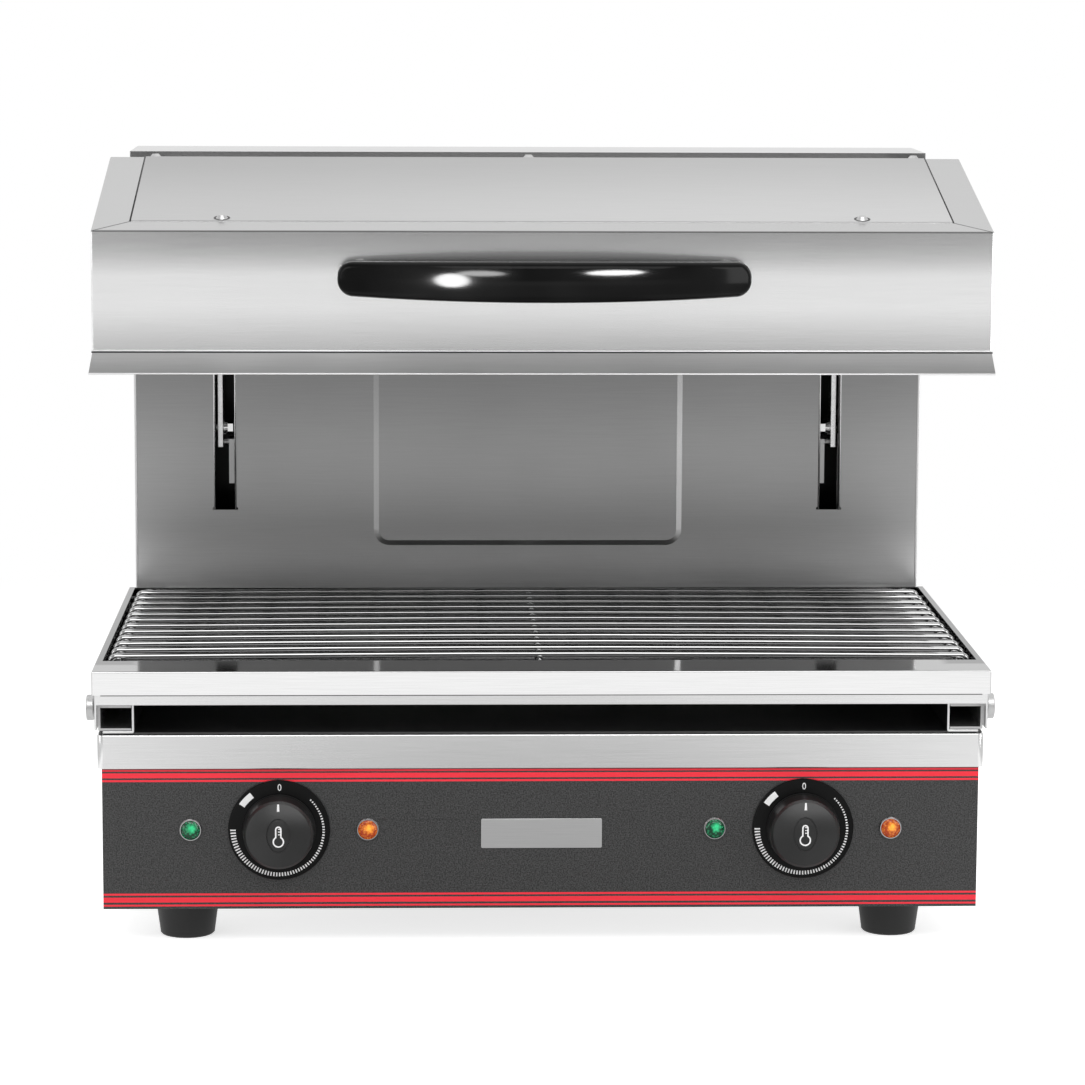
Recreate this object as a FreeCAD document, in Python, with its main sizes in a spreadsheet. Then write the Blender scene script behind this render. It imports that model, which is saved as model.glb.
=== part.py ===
"""Lifting grill: a base with two dials, a rear column and a heated head that rises and falls.

Millimetres. +Z is up, -Y is the front, +X is the right seen from the front.
The origin lies on the ground under the middle of the whole grill.
"""
import FreeCAD, Part
import math
import os
import re

import Sketcher
from FreeCAD import Placement, Rotation, Vector

# Driving dimensions
SIZES = [
    ("deck_reach", 208.0, "origin to the front lip of the drip pan"),
    ("deck_width", 600.0, "drip pan over its side lips"),
    ("deck_depth", 360.0, "front lip to the splash panel"),
    ("column_depth", 82.0, "splash panel to the rear cover"),
    ("column_rise", 327.0, "pan rim to the top of the column"),
    ("body_inset", 5.0, "pan lip's side to a side panel"),
    ("cover_wall", 1.2, "sheet of the covers"),
    ("side_wall", 1.8, "sheet of the side panels"),
    ("foot_height", 27.0, "ground to the base"),
    ("foot_top_radius", 22.0, "foot where it meets the base"),
    ("foot_base_radius", 18.5, "foot on the ground"),
    ("foot_recess_radius", 5.5, "recess for the screw in a foot"),
    ("foot_side", 54.0, "side panel to a foot's axis"),
    ("foot_inset", 45.0, "fascia, or rear cover, to a foot's axis"),
    ("fascia_setback", 17.0, "pan lip to the fascia"),
    ("fascia_height", 96.5, "fascia from bottom to trim band"),
    ("fascia_wall", 1.5, "sheet of the fascia"),
    ("trim_height", 23.0, "trim band above the fascia"),
    ("trim_side", 3.0, "trim band outside a side panel"),
    ("trim_front", 2.0, "trim band in front of the fascia"),
    ("trim_wall", 3.0, "rolled trim band"),
    ("trim_corner", 4.0, "radius of the trim band's corners"),
    ("rail_height", 20.8, "slide rail"),
    ("rail_width", 21.0, "slide rail across"),
    ("rail_wall", 1.5, "sheet of the slide rails and runners"),
    ("rail_inset", 27.0, "pan lip's side to the back of a rail's web"),
    ("rail_setback", 16.0, "pan lip to the front end of a rail"),
    ("rail_length", 330.0, "slide rail along the base"),
    ("rail_gap", 0.5, "rail to the tray frame above it"),
    ("slide_play", 0.4, "runner to rail"),
    ("runner_length", 300.0, "runner inside its rail"),
    ("strip_height", 7.5, "tray frame seen below the pan lip"),
    ("strip_setback", 4.0, "pan lip to the tray frame"),
    ("frame_wall", 1.5, "sheet of the tray frame"),
    ("frame_inset", 1.5, "pan lip's outside to the tray frame"),
    ("frame_skirt", 17.0, "tray frame's sides below its front strip"),
    ("lip_height", 16.0, "pan lip"),
    ("pan_wall", 1.0, "sheet of the pan"),
    ("pan_play", 1.2, "pan to the splash panel"),
    ("rim_side", 4.5, "pan rim beside and behind the basin"),
    ("rim_front", 41.0, "pan rim in front of the basin"),
    ("basin_depth", 8.7, "rim to the basin floor"),
    ("frame_rod_radius", 3.0, "outer wire of the rack"),
    ("grid_rod_radius", 2.2, "cross wires of the rack"),
    ("grid_rods", 12, "cross wires in the rack"),
    ("grid_pitch", 24.7, "one cross wire to the next"),
    ("grid_front", 62.0, "pan lip to the first cross wire"),
    ("grid_bend", 4.0, "bend at the end of a cross wire"),
    ("grid_crown", 1.9, "rise of a cross wire's two halves"),
    ("rack_play", 1.6, "rack to the basin wall"),
    ("rack_corner", 12.0, "bend at the corners of the rack"),
    ("weld_bite", 0.3, "wires sunk into one another where welded"),
    ("thumb_radius", 8.6, "head of a thumbscrew"),
    ("thumb_wall", 5.0, "thickness of a thumbscrew's head"),
    ("thumb_bevel", 0.6, "bevel round a thumbscrew's head"),
    ("thumb_neck", 1.6, "neck between the head and the frame"),
    ("thumb_stem_radius", 2.0, "stem of a thumbscrew"),
    ("thumb_height", 12.5, "strip's lower edge is this far below the rim side's bottom"),
    ("thumb_setback", 24.0, "pan lip to a thumbscrew"),
    ("turn_play", 0.06, "running fit round a stem or an axle"),
    ("dial_inset", 118.5, "side panel to a dial's axis"),
    ("dial_height", 54.5, "fascia's bottom to the dials"),
    ("bezel_radius", 34.2, "printed ring behind a knob"),
    ("bezel_wall", 2.0, "thickness of that ring"),
    ("knob_radius", 24.6, "knob's skirt"),
    ("knob_face_radius", 23.2, "knob's face"),
    ("knob_depth", 17.0, "knob from back to face"),
    ("knob_gap", 0.3, "knob to the ring behind it"),
    ("knob_wall", 2.4, "wall of the knob"),
    ("knob_boss_radius", 6.0, "boss that grips the shaft"),
    ("knob_bevel", 1.6, "bevel round the knob's face"),
    ("knob_foot", 3.0, "rounded foot of the knob's skirt"),
    ("dish_depth", 0.8, "oval dish in the knob's face"),
    ("dish_width", 10.4, "dish between the ends of its side arcs"),
    ("dish_height", 17.2, "dish between the ends of its end arcs"),
    ("dish_side_radius", 14.6, "arcs at the dish's sides"),
    ("dish_end_radius", 6.1, "arcs at the dish's top and bottom"),
    ("shaft_radius", 3.0, "thermostat's shaft"),
    ("shaft_hole_radius", 5.5, "hole in the fascia round a shaft"),
    ("thermostat_width", 38.0, "thermostat across"),
    ("thermostat_height", 42.0, "thermostat from bottom to top"),
    ("thermostat_depth", 36.0, "thermostat behind the fascia"),
    ("terminal_width", 6.3, "blade terminal"),
    ("terminal_wall", 0.8, "sheet of a blade terminal"),
    ("light_offset", 59.5, "dial to a pilot light"),
    ("light_radius", 6.6, "lens of a pilot light"),
    ("light_rim", 1.1, "chromed ring round a lens"),
    ("light_depth", 22.0, "pilot light behind the fascia"),
    ("head_inset", 2.3, "pan lip's side to the head's side"),
    ("head_setback", 13.5, "pan lip to the head's face"),
    ("head_rise", 197.0, "pan rim to the head's lower lip, raised"),
    ("head_travel", 140.0, "how far the head comes down"),
    ("head_back_gap", 8.0, "head to the splash panel"),
    ("flare_height", 15.0, "flared lower lip"),
    ("flare_out", 2.5, "how far the lip flares outward"),
    ("flange_width", 26.0, "lip's flange under the head"),
    ("face_height", 79.5, "head's face above the lip"),
    ("ridge_rise", 39.5, "face's top edge to the ridge"),
    ("ridge_setback", 176.0, "face to the ridge"),
    ("rear_fall", 12.5, "ridge to the head's rear edge"),
    ("front_strip", 21.7, "folded strip in front of the top panel"),
    ("side_strip", 24.0, "folded strip beside the top panel"),
    ("panel_seam", 1.0, "dark seam beside the top panel"),
    ("panel_proud", 0.5, "top panel above the strips"),
    ("ledge_width", 14.0, "ledge that carries the top panel"),
    ("grip_length", 271.6, "handle from end to end"),
    ("grip_bow", 33.0, "how far the handle's middle bows out"),
    ("grip_standoff", 7.0, "face to the back of the handle's ends"),
    ("grip_thick", 12.0, "handle from back to front"),
    ("grip_end_height", 22.6, "handle's height at its ends"),
    ("grip_height", 26.8, "handle's height at its middle"),
    ("grip_drop", 29.8, "face's top edge to the handle's middle"),
    ("grip_edge", 4.5, "rounding of the handle's long edges"),
    ("grip_foot_radius", 8.5, "post at each end of the handle"),
    ("grip_foot_inset", 15.0, "handle's end to its post"),
    ("grip_foot_rise", 2.4, "posts above the handle's middle line"),
    ("reflector_rise", 26.0, "lip's flange to the reflector's ceiling"),
    ("reflector_slant", 18.0, "reflector's walls lean in by this much"),
    ("element_radius", 4.0, "tube of a heating element"),
    ("element_side", 10.7, "last run to the reflector's wall at its ceiling"),
    ("element_runs", 6, "runs in one heating element"),
    ("element_drop", 14.0, "reflector's ceiling to a tube's axis"),
    ("element_margin", 12.0, "grill's middle to the first run"),
    ("element_front", 56.0, "head's face to the front bends"),
    ("element_back", 46.0, "head's back to the rear bends"),
    ("clip_width", 12.0, "bar that holds the heating tubes"),
    ("clip_wall", 1.5, "sheet of that bar"),
    ("slot_inset", 67.6, "side panel to a slot's middle"),
    ("slot_width", 15.2, "clear width of a slot"),
    ("slot_foot", 58.5, "pan rim to the bottom of a slot"),
    ("slot_head", 20.0, "column's top to the top of a slot"),
    ("slot_fold", 1.7, "folded edge beside a slot"),
    ("slot_fold_depth", 8.0, "how far that fold goes back"),
    ("relief_height", 1.8, "slit across the bottom of a slot"),
    ("relief_width", 19.0, "that slit from end to end"),
    ("bead_width", 232.0, "raised field in the splash panel"),
    ("bead_foot", 31.5, "pan rim to the raised field"),
    ("bead_rise", 1.8, "raised field in front of the panel"),
    ("bead_corner", 12.0, "corners of the raised field"),
    ("bead_slope", 4.0, "width of the raised field's sloping edges"),
    ("arm_offset", 1.9, "slot's middle to a lift arm"),
    ("arm_wall", 4.0, "sheet of the lift arms"),
    ("arm_setback", 12.0, "splash panel to a lift arm"),
    ("arm_depth", 24.0, "lift arm from front to back"),
    ("arm_drop", 92.7, "lift arm below the head's lip"),
    ("arm_flange", 20.0, "flange on the back of the head"),
    ("arm_top_gap", 10.0, "face's top edge to the arm's top"),
    ("arm_lug_rise", 10.0, "lip to the lower edge of the arm's lug"),
    ("roller_radius", 11.0, "lift roller"),
    ("roller_width", 8.0, "lift roller across its tread"),
    ("roller_bevel", 0.8, "bevel at a roller's edges"),
    ("roller_drop", 78.5, "head's lip to the lower rollers"),
    ("roller_spacing", 125.0, "lower rollers to upper rollers"),
    ("roller_play", 0.2, "roller to its channel"),
    ("spacer_width", 5.6, "lift arm to roller"),
    ("spacer_radius", 5.0, "tube between a lift arm and a roller"),
    ("axle_radius", 3.0, "axle bolt"),
    ("axle_step", 0.5, "axle bolt to the stud beside a lift arm"),
    ("hex_width", 10.0, "axle bolt's head across its flats"),
    ("hex_wall", 4.0, "thickness of that head"),
    ("washer_radius", 6.0, "washer under that head"),
    ("washer_wall", 1.6, "thickness of one washer"),
    ("guide_wall", 2.0, "sheet of the lift channels"),
    ("guide_side_play", 3.0, "roller to the web of its channel"),
    ("guide_tail", 15.0, "channel below the lowest roller"),
    ("guide_tab", 18.0, "tab that joins a channel to the panel"),
    ("bar_wall", 3.0, "sheet of the carriage's cross bars"),
    ("bar_end_wall", 4.0, "end plates of the lower cross bar"),
    ("bar_end_height", 33.5, "height of those end plates"),
    ("bar_end_gap", 4.3, "end plate to lift arm"),
    ("bar_inset", 2.0, "lift arm's edge to the lower cross bar"),
    ("strut_spread", 300.0, "left gas strut to right gas strut"),
    ("strut_setback", 28.0, "roller axles to the gas struts"),
    ("strut_radius", 9.0, "gas strut's cylinder"),
    ("strut_bore_radius", 7.5, "bore of that cylinder"),
    ("strut_body", 188.0, "cylinder from end to end"),
    ("strut_wall", 6.0, "cylinder's end walls"),
    ("rod_radius", 4.0, "gas strut's rod"),
    ("rod_inside", 40.0, "rod left in the cylinder, raised"),
    ("strut_pin_height", 17.0, "base to the strut's lower pin"),
    ("strut_eye_radius", 7.0, "eye at the strut's foot"),
    ("strut_pin_radius", 3.0, "pin through that eye"),
    ("cap_lap", 12.0, "column cap's rim over the panels"),
    ("cap_wall", 1.0, "sheet of the column cap"),
    ("dome_radius", 4.0, "dome head of a cover screw"),
    ("dome_height", 2.2, "height of that dome"),
    ("screw_radius", 1.6, "shank of a cover screw"),
    ("screw_inset", 6.0, "top panel's edge to a screw"),
    ("front_screw_inset", 59.7, "top panel's side to a front screw"),
    ("rear_screw_x", -5.0, "grill's middle to the middle rear screw"),
    ("vent_length", 60.0, "vent slot"),
    ("vent_width", 3.0, "vent slot across"),
    ("vent_pitch", 9.0, "one vent slot to the next"),
    ("gland_radius", 11.0, "nut of the cable gland"),
    ("gland_reach", 12.0, "cable gland behind the rear cover"),
    ("gland_bore_radius", 4.5, "hole through the cable gland"),
    ("gland_height", 40.0, "base to the cable gland"),
    ("gland_side", 210.0, "grill's middle to the cable gland"),
    ("gland_collar", 2.0, "wall of the gland inside the rear cover"),
    ("gland_inside", 8.0, "gland in front of the rear cover's back"),
    ("gland_taper", 1.5, "last step of the gland's nose"),
    ("block_slot", 8.0, "slot in the terminal block"),
    ("block_web", 3.0, "wall behind those slots"),
    ("floor_lip", 12.0, "turned-up sides of the base pan"),
    ("foot_bevel", 1.0, "bevel round the bottom of a foot"),
    ("reflector_flange", 10.0, "reflector's flange on the lip's flange"),
]

# Places worked out from the driving dimensions
PLACES = [
    ("lip_y", "-deck_reach"),
    ("splash_y", "lip_y + deck_depth"),
    ("back_y", "splash_y + column_depth"),
    ("fascia_y", "lip_y + fascia_setback"),
    ("side_x", "deck_width / 2 - body_inset"),
    ("inside_x", "side_x - side_wall"),
    ("base_z", "foot_height"),
    ("floor_z", "base_z + cover_wall"),
    ("trim_z", "base_z + fascia_height"),
    ("trim_top_z", "trim_z + trim_height"),
    ("trim_x", "side_x + trim_side"),
    ("trim_y", "fascia_y - trim_front"),
    ("plate_z", "trim_top_z + cover_wall"),
    ("rail_top_z", "plate_z + rail_height"),
    ("strip_z", "rail_top_z + rail_gap"),
    ("lip_z", "strip_z + strip_height"),
    ("rim_z", "lip_z + lip_height"),
    ("basin_z", "rim_z - basin_depth"),
    ("pan_x", "deck_width / 2"),
    ("pan_back_y", "splash_y - pan_play"),
    ("basin_x", "pan_x - rim_side"),
    ("basin_front_y", "lip_y + rim_front"),
    ("basin_back_y", "pan_back_y - rim_side"),
    ("frame_x", "pan_x - frame_inset"),
    ("frame_front_y", "lip_y + strip_setback"),
    ("frame_back_y", "pan_back_y - frame_inset"),
    ("skirt_z", "strip_z - frame_skirt"),
    ("rail_x", "pan_x - rail_inset"),
    ("rail_y", "lip_y + rail_setback"),
    ("runner_x", "frame_x - frame_wall"),
    ("thumb_y", "lip_y + thumb_setback"),
    ("thumb_z", "lip_z - thumb_height"),
    ("cap_z", "rim_z + column_rise"),
    ("panel_top_z", "cap_z - cap_wall"),
    ("dial_x", "side_x - dial_inset"),
    ("dial_z", "base_z + dial_height"),
    ("fascia_back_y", "fascia_y + fascia_wall"),
    ("bezel_y", "fascia_y - bezel_wall"),
    ("knob_back_y", "bezel_y - knob_gap"),
    ("knob_face_y", "knob_back_y - knob_depth"),
    ("face_y", "lip_y + head_setback"),
    ("flare_z", "rim_z + head_rise"),
    ("face_z", "flare_z + flare_height"),
    ("edge_z", "face_z + face_height"),
    ("ridge_z", "edge_z + ridge_rise"),
    ("ridge_y", "face_y + ridge_setback"),
    ("head_back_y", "splash_y - head_back_gap"),
    ("rear_z", "ridge_z - rear_fall"),
    ("head_x", "pan_x - head_inset"),
    ("window_y", "face_y + front_strip"),
    ("window_z", "edge_z + ridge_rise * front_strip / ridge_setback"),
    ("window_x", "head_x - side_strip"),
    ("panel_x", "window_x - panel_seam"),
    ("grip_z", "edge_z - grip_drop"),
    ("ceiling_z", "face_z + reflector_rise"),
    ("reflector_x", "head_x - flange_width"),
    ("reflector_front_y", "face_y + flange_width"),
    ("reflector_back_y", "head_back_y - flange_width"),
    ("element_z", "ceiling_z - element_drop"),
    ("element_span", "reflector_x - reflector_slant - element_side - element_margin"),
    ("element_pitch", "element_span / (element_runs - 0.5)"),
    ("slot_x", "side_x - slot_inset"),
    ("slot_low_z", "rim_z + slot_foot"),
    ("slot_high_z", "cap_z - slot_head"),
    ("splash_back_y", "splash_y + cover_wall"),
    ("arm_in_x", "slot_x + arm_offset"),
    ("arm_out_x", "arm_in_x + arm_wall"),
    ("arm_front_y", "splash_y + arm_setback"),
    ("arm_back_y", "arm_front_y + arm_depth"),
    ("arm_low_z", "flare_z - arm_drop"),
    ("arm_top_z", "edge_z - arm_top_gap"),
    ("axle_y", "arm_front_y + arm_depth / 2"),
    ("roller_low_z", "flare_z - roller_drop"),
    ("roller_high_z", "roller_low_z + roller_spacing"),
    ("roller_x", "arm_out_x + spacer_width"),
    ("guide_x", "roller_x + roller_width + guide_side_play"),
    ("guide_gap", "roller_radius + roller_play"),
    ("guide_low_z", "roller_low_z - head_travel - roller_radius - guide_tail"),
    ("guide_high_z", "slot_high_z"),
    ("strut_x", "strut_spread / 2"),
    ("strut_y", "axle_y + strut_setback"),
    ("strut_pin_z", "floor_z + strut_pin_height"),
    ("strut_low_z", "strut_pin_z + strut_eye_radius"),
    ("strut_high_z", "strut_low_z + strut_body"),
    ("high_bar_z", "roller_high_z + roller_radius + 2 * bar_wall"),
]

doc = FreeCAD.newDocument("lifting_grill")
sizes = doc.addObject("Spreadsheet::Sheet", "Sizes")
places = doc.addObject("Spreadsheet::Sheet", "Places")
HOMES = {}


def spell(rule):
    """Write a rule with the sheet of each name in front of it."""
    return re.sub(r"[a-z]\w+", lambda word: HOMES.get(word[0], word[0]), rule)


def fill_sheets():
    """Put the driving dimensions in one sheet and the places in another."""
    for row, (alias, length, note) in enumerate(SIZES, start=1):
        sizes.set(f"A{row}", note)
        sizes.set(f"B{row}", str(length))
        sizes.setAlias(f"B{row}", alias)
        HOMES[alias] = f"Sizes.{alias}"
    for row, (alias, rule) in enumerate(PLACES, start=1):
        places.set(f"B{row}", "=" + spell(rule))
        places.setAlias(f"B{row}", alias)
        HOMES[alias] = f"Places.{alias}"
    doc.recompute()


def number(rule):
    """The number that a rule stands for."""
    return float(places.evalExpression(spell(str(rule))))


def bind(thing, prop, rule):
    """Bind a property of an object to the sheets."""
    thing.setExpression(prop, spell(str(rule)))


fill_sheets()

NODES = []
PLANES = {
    "XY": ("XY_Plane", 1),
    "XZ": ("XZ_Plane", -1),
    "YZ": ("YZ_Plane", 1),
}


def keep(thing, label):
    """Name a sub-part and put it on the list of nodes."""
    thing.Label = label
    NODES.append(thing)
    return thing


def new_body(label):
    """An empty body for one sub-part."""
    return keep(doc.addObject("PartDesign::Body", "Body"), label)


def part_of_group(label):
    """An empty body for one of several equal pieces that share a node."""
    body = doc.addObject("PartDesign::Body", "Body")
    body.Label = label
    return body


def keep_group(pieces, label):
    """One node that holds several separate pieces."""
    group = doc.addObject("Part::Compound", "Group")
    group.Links = pieces
    return keep(group, label)


def place(thing, x="0", y="0", z="0", turn=None):
    """Stand a sub-part at a bound place, turned about an axis if need be."""
    if turn:
        axis, angle = turn
        thing.Placement = Placement(Vector(), Rotation(Vector(*axis), number(angle)))
        if isinstance(angle, str):
            bind(thing, "Placement.Rotation.Angle", angle)
    bind(thing, "Placement.Base.x", x)
    bind(thing, "Placement.Base.y", y)
    bind(thing, "Placement.Base.z", z)
    return thing


FACE_DOWN = ((1, 0, 0), 180)
FACE_FRONT = ((1, 0, 0), 90)
FACE_BACK = ((1, 0, 0), -90)
FACE_RIGHT = ((0, 1, 0), 90)
FACE_LEFT = ((0, 1, 0), -90)


def new_sketch(body, plane, level):
    """A sketch on one of the body's own planes, at a bound level along its normal."""
    sketch = body.newObject("Sketcher::SketchObject", "Sketch")
    role, way = PLANES[plane]
    sketch.AttachmentSupport = (origin_feature(body, role), [""])
    sketch.MapMode = "FlatFace"
    bind(sketch, "AttachmentOffset.Base.z", f"({level}) * {way}")
    return sketch


def origin_feature(body, role):
    """One of the body's own planes or axes."""
    return [item for item in body.Origin.OriginFeatures if item.Role == role][0]


def pin_point(sketch, edge, end, corner):
    """Hold one end of a sketch edge at a bound place."""
    for kind, rule in zip(("DistanceX", "DistanceY"), corner):
        spot = sketch.addConstraint(
            Sketcher.Constraint(kind, -1, 1, edge, end, number(rule)))
        bind(sketch, f"Constraints[{spot}]", rule)


def short_arc(start, end, radius, side):
    """The short arc between two points, bulging left (1) or right (-1) of the way from start."""
    chord = end - start
    left = Vector(-chord.y, chord.x, 0).normalize()
    reach = math.sqrt(radius ** 2 - (chord.Length / 2) ** 2)
    centre = (start + end) / 2 - left * reach * side
    first, last = (start, end) if side < 0 else (end, start)
    low, high = (math.atan2(spot.y - centre.y, spot.x - centre.x) for spot in (first, last))
    if high < low:
        high += 2 * math.pi
    return Part.ArcOfCircle(Part.Circle(centre, Vector(0, 0, 1), radius), low, high)


def draw_loop(sketch, corners):
    """A closed outline through bound corners.

    A corner is (x, y), or (x, y, radius, side) where an arc leads to the next one.
    """
    spots = [Vector(number(corner[0]), number(corner[1]), 0) for corner in corners]
    first = len(sketch.Geometry)
    count = len(corners)
    ends = {}
    for index, corner in enumerate(corners):
        start = spots[index]
        end = spots[(index + 1) % count]
        if len(corner) == 4:
            edge = sketch.addGeometry(short_arc(start, end, number(corner[2]), corner[3]))
            spot = sketch.addConstraint(
                Sketcher.Constraint("Radius", edge, number(corner[2])))
            bind(sketch, f"Constraints[{spot}]", corner[2])
            ends[index] = (1, 2) if corner[3] < 0 else (2, 1)
        else:
            edge = sketch.addGeometry(Part.LineSegment(start, end))
            ends[index] = (1, 2)
    for index in range(count):
        follower = (index + 1) % count
        sketch.addConstraint(Sketcher.Constraint(
            "Coincident", first + index, ends[index][1], first + follower, ends[follower][0]))
    for index, corner in enumerate(corners):
        pin_point(sketch, first + index, ends[index][0], corner[:2])


def draw_ring(sketch, x, y, radius):
    """A bound circle."""
    edge = sketch.addGeometry(
        Part.Circle(Vector(number(x), number(y), 0), Vector(0, 0, 1), number(radius)))
    spot = sketch.addConstraint(Sketcher.Constraint("Radius", edge, number(radius)))
    bind(sketch, f"Constraints[{spot}]", radius)
    pin_point(sketch, edge, 3, (x, y))


def draw(sketch, loops, rings):
    """All outlines and circles of one sketch."""
    for corners in loops:
        draw_loop(sketch, corners)
    for x, y, radius in rings:
        draw_ring(sketch, x, y, radius)


def block(low_x, high_x, low_y, high_y):
    """Corners of a rectangle."""
    return [(low_x, low_y), (high_x, low_y), (high_x, high_y), (low_x, high_y)]


def add_slab(body, plane, low, high, loops=(), rings=()):
    """Material between two levels along a plane's normal axis."""
    way = PLANES[plane][1]
    sketch = new_sketch(body, plane, low if way == 1 else high)
    draw(sketch, loops, rings)
    pad = body.newObject("PartDesign::Pad", "Pad")
    pad.Profile = sketch
    bind(pad, "Length", f"({high}) - ({low})")
    body.Tip = pad
    return pad


def cut_slab(body, plane, low, high, loops=(), rings=()):
    """A cut between two levels along a plane's normal axis."""
    way = PLANES[plane][1]
    sketch = new_sketch(body, plane, high if way == 1 else low)
    draw(sketch, loops, rings)
    pocket = body.newObject("PartDesign::Pocket", "Pocket")
    pocket.Profile = sketch
    bind(pocket, "Length", f"({high}) - ({low})")
    body.Tip = pocket
    CUTS.append(pocket)
    return pocket


CUTS = []


def turn_profile(body, corners, cut=False):
    """Turn an outline in the XZ plane about the body's own Z axis."""
    sketch = new_sketch(body, "XZ", "0")
    draw_loop(sketch, corners)
    kind = "PartDesign::Groove" if cut else "PartDesign::Revolution"
    turned = body.newObject(kind, "Turned")
    turned.Profile = sketch
    turned.ReferenceAxis = (sketch, ["V_Axis"])
    turned.Angle = 360
    body.Tip = turned
    if cut:
        CUTS.append(turned)
    return turned


def edge_names(shape, wanted):
    """Names of the edges that a test picks."""
    return [f"Edge{index}" for index, edge in enumerate(shape.Edges, start=1) if wanted(edge)]


def round_edges(body, radius, wanted):
    """Round the edges that a test picks."""
    doc.recompute()
    base = body.Tip
    names = edge_names(base.Shape, wanted)
    rounding = body.newObject("PartDesign::Fillet", "Fillet")
    rounding.Base = (base, names)
    bind(rounding, "Radius", radius)
    body.Tip = rounding
    return rounding


def bevel_edges(body, size, wanted):
    """Bevel the edges that a test picks."""
    doc.recompute()
    base = body.Tip
    names = edge_names(base.Shape, wanted)
    bevel = body.newObject("PartDesign::Chamfer", "Chamfer")
    bevel.Base = (base, names)
    bind(bevel, "Size", size)
    body.Tip = bevel
    return bevel


def runs_along(edge, axis):
    """Whether a straight edge runs along an axis."""
    if edge.Curve.TypeId != "Part::GeomLine":
        return False
    way = edge.Vertexes[-1].Point - edge.Vertexes[0].Point
    return abs(way.normalize()[axis]) > 0.999


def lies_at(edge, axis, rule, slack=0.01):
    """Whether the middle of an edge lies at a bound place along an axis."""
    return abs(edge.CenterOfMass[axis] - number(rule)) < slack


def bent_path(points, bends, closed=False):
    """Straight runs joined by tangent arcs, one bend radius for each turn."""
    count = len(points)
    turns = range(count) if closed else range(1, count - 1)
    arcs = {}
    for order, index in enumerate(turns):
        corner = points[index]
        back = (points[index - 1] - corner).normalize()
        ahead = (points[(index + 1) % count] - corner).normalize()
        half = back.getAngle(ahead) / 2
        reach = bends[order % len(bends)] / math.tan(half)
        centre = corner + (back + ahead).normalize() * (bends[order % len(bends)] / math.sin(half))
        middle = centre + (corner - centre).normalize() * bends[order % len(bends)]
        arcs[index] = (corner + back * reach, middle, corner + ahead * reach)
    edges = []
    spans = count if closed else count - 1
    for index in range(spans):
        follower = (index + 1) % count
        start = arcs[index][2] if index in arcs else points[index]
        end = arcs[follower][0] if follower in arcs else points[follower]
        edges.append(Part.LineSegment(start, end).toShape())
        if follower in arcs:
            edges.append(Part.Arc(*arcs[follower]).toShape())
    return Part.Wire(edges)


def bent_rod(points, bends, radius, closed=False):
    """A round rod bent along a path."""
    path = bent_path(points, bends, closed)
    start = path.Edges[0].Vertexes[0].Point
    way = path.Edges[0].tangentAt(path.Edges[0].FirstParameter)
    ring = Part.Wire(Part.makeCircle(radius, start, way))
    return path.makePipeShell([ring], True, False)


def keep_shape(shape, label):
    """A sub-part whose shape is worked out in full here."""
    thing = doc.addObject("Part::Feature", "Formed")
    thing.Shape = shape
    return keep(thing, label)


SIDES = (("left", -1), ("right", 1))


# Base

def make_base_pan():
    """Floor of the base with turned-up sides, vent slots and holes for the feet."""
    body = new_body("base_pan")
    add_slab(body, "XY", "base_z", "floor_z",
             [block("-inside_x", "inside_x", "fascia_back_y", "back_y - cover_wall")])
    for side in (-1, 1):
        wall = sorted((f"{side} * inside_x", f"{side} * (inside_x - cover_wall)"), key=number)
        add_slab(body, "XY", "floor_z", "floor_z + floor_lip",
                 [block(wall[0], wall[1], "fascia_back_y", "back_y - cover_wall")])
    feet = [(x, y, SCREW_HOLE) for x in FOOT_X for y in FOOT_Y]
    cut_slab(body, "XY", "base_z", "floor_z", rings=feet)
    slots = [block("-vent_length / 2", "vent_length / 2",
                   f"(fascia_y + splash_y) / 2 + {step} * vent_pitch - vent_width / 2",
                   f"(fascia_y + splash_y) / 2 + {step} * vent_pitch + vent_width / 2")
             for step in range(-5, 6)]
    cut_slab(body, "XY", "base_z", "floor_z", slots)


SCREW_HOLE = "screw_radius + turn_play"
REAR_SCREWS = [(x, z) for x in ("-inside_x + 3 * dome_radius", "0", "inside_x - 3 * dome_radius")
               for z in ("base_z + 3 * dome_radius", "plate_z", "panel_top_z - cap_lap - 2 * dome_radius")]
TOP_SCREWS = {
    "front": [f"{side} * (panel_x - front_screw_inset)" for side in (-1, 1)],
    "rear": ["-(panel_x - screw_inset)", "rear_screw_x", "panel_x - screw_inset"],
}
TOP_SCREW_Y = {"front": "window_y + screw_inset", "rear": "ridge_y + 2 * screw_inset"}
FOOT_X = ("-(side_x - foot_side)", "side_x - foot_side")
FOOT_Y = ("fascia_y + foot_inset", "back_y - foot_inset")


def make_foot(label, x, y):
    """Tapered rubber foot with a recess for its screw."""
    body = new_body(label)
    turn_profile(body, [
        (SCREW_HOLE, "foot_height / 2"),
        ("foot_recess_radius", "foot_height / 2"),
        ("foot_recess_radius", "0"),
        ("foot_base_radius - foot_bevel", "0"),
        ("foot_base_radius", "foot_bevel"),
        ("foot_top_radius", "foot_height"),
        (SCREW_HOLE, "foot_height"),
    ])
    place(body, x, y, "0")


def make_side_panel(label, side):
    """L-shaped side that closes the base and the column."""
    body = new_body(label)
    low, high = ("-side_x", "-inside_x") if side < 0 else ("inside_x", "side_x")
    add_slab(body, "YZ", low, high, [[
        ("fascia_back_y", "base_z"),
        ("back_y", "base_z"),
        ("back_y", "panel_top_z"),
        ("splash_y", "panel_top_z"),
        ("splash_y", "trim_top_z"),
        ("fascia_back_y", "trim_top_z"),
    ]])


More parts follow.
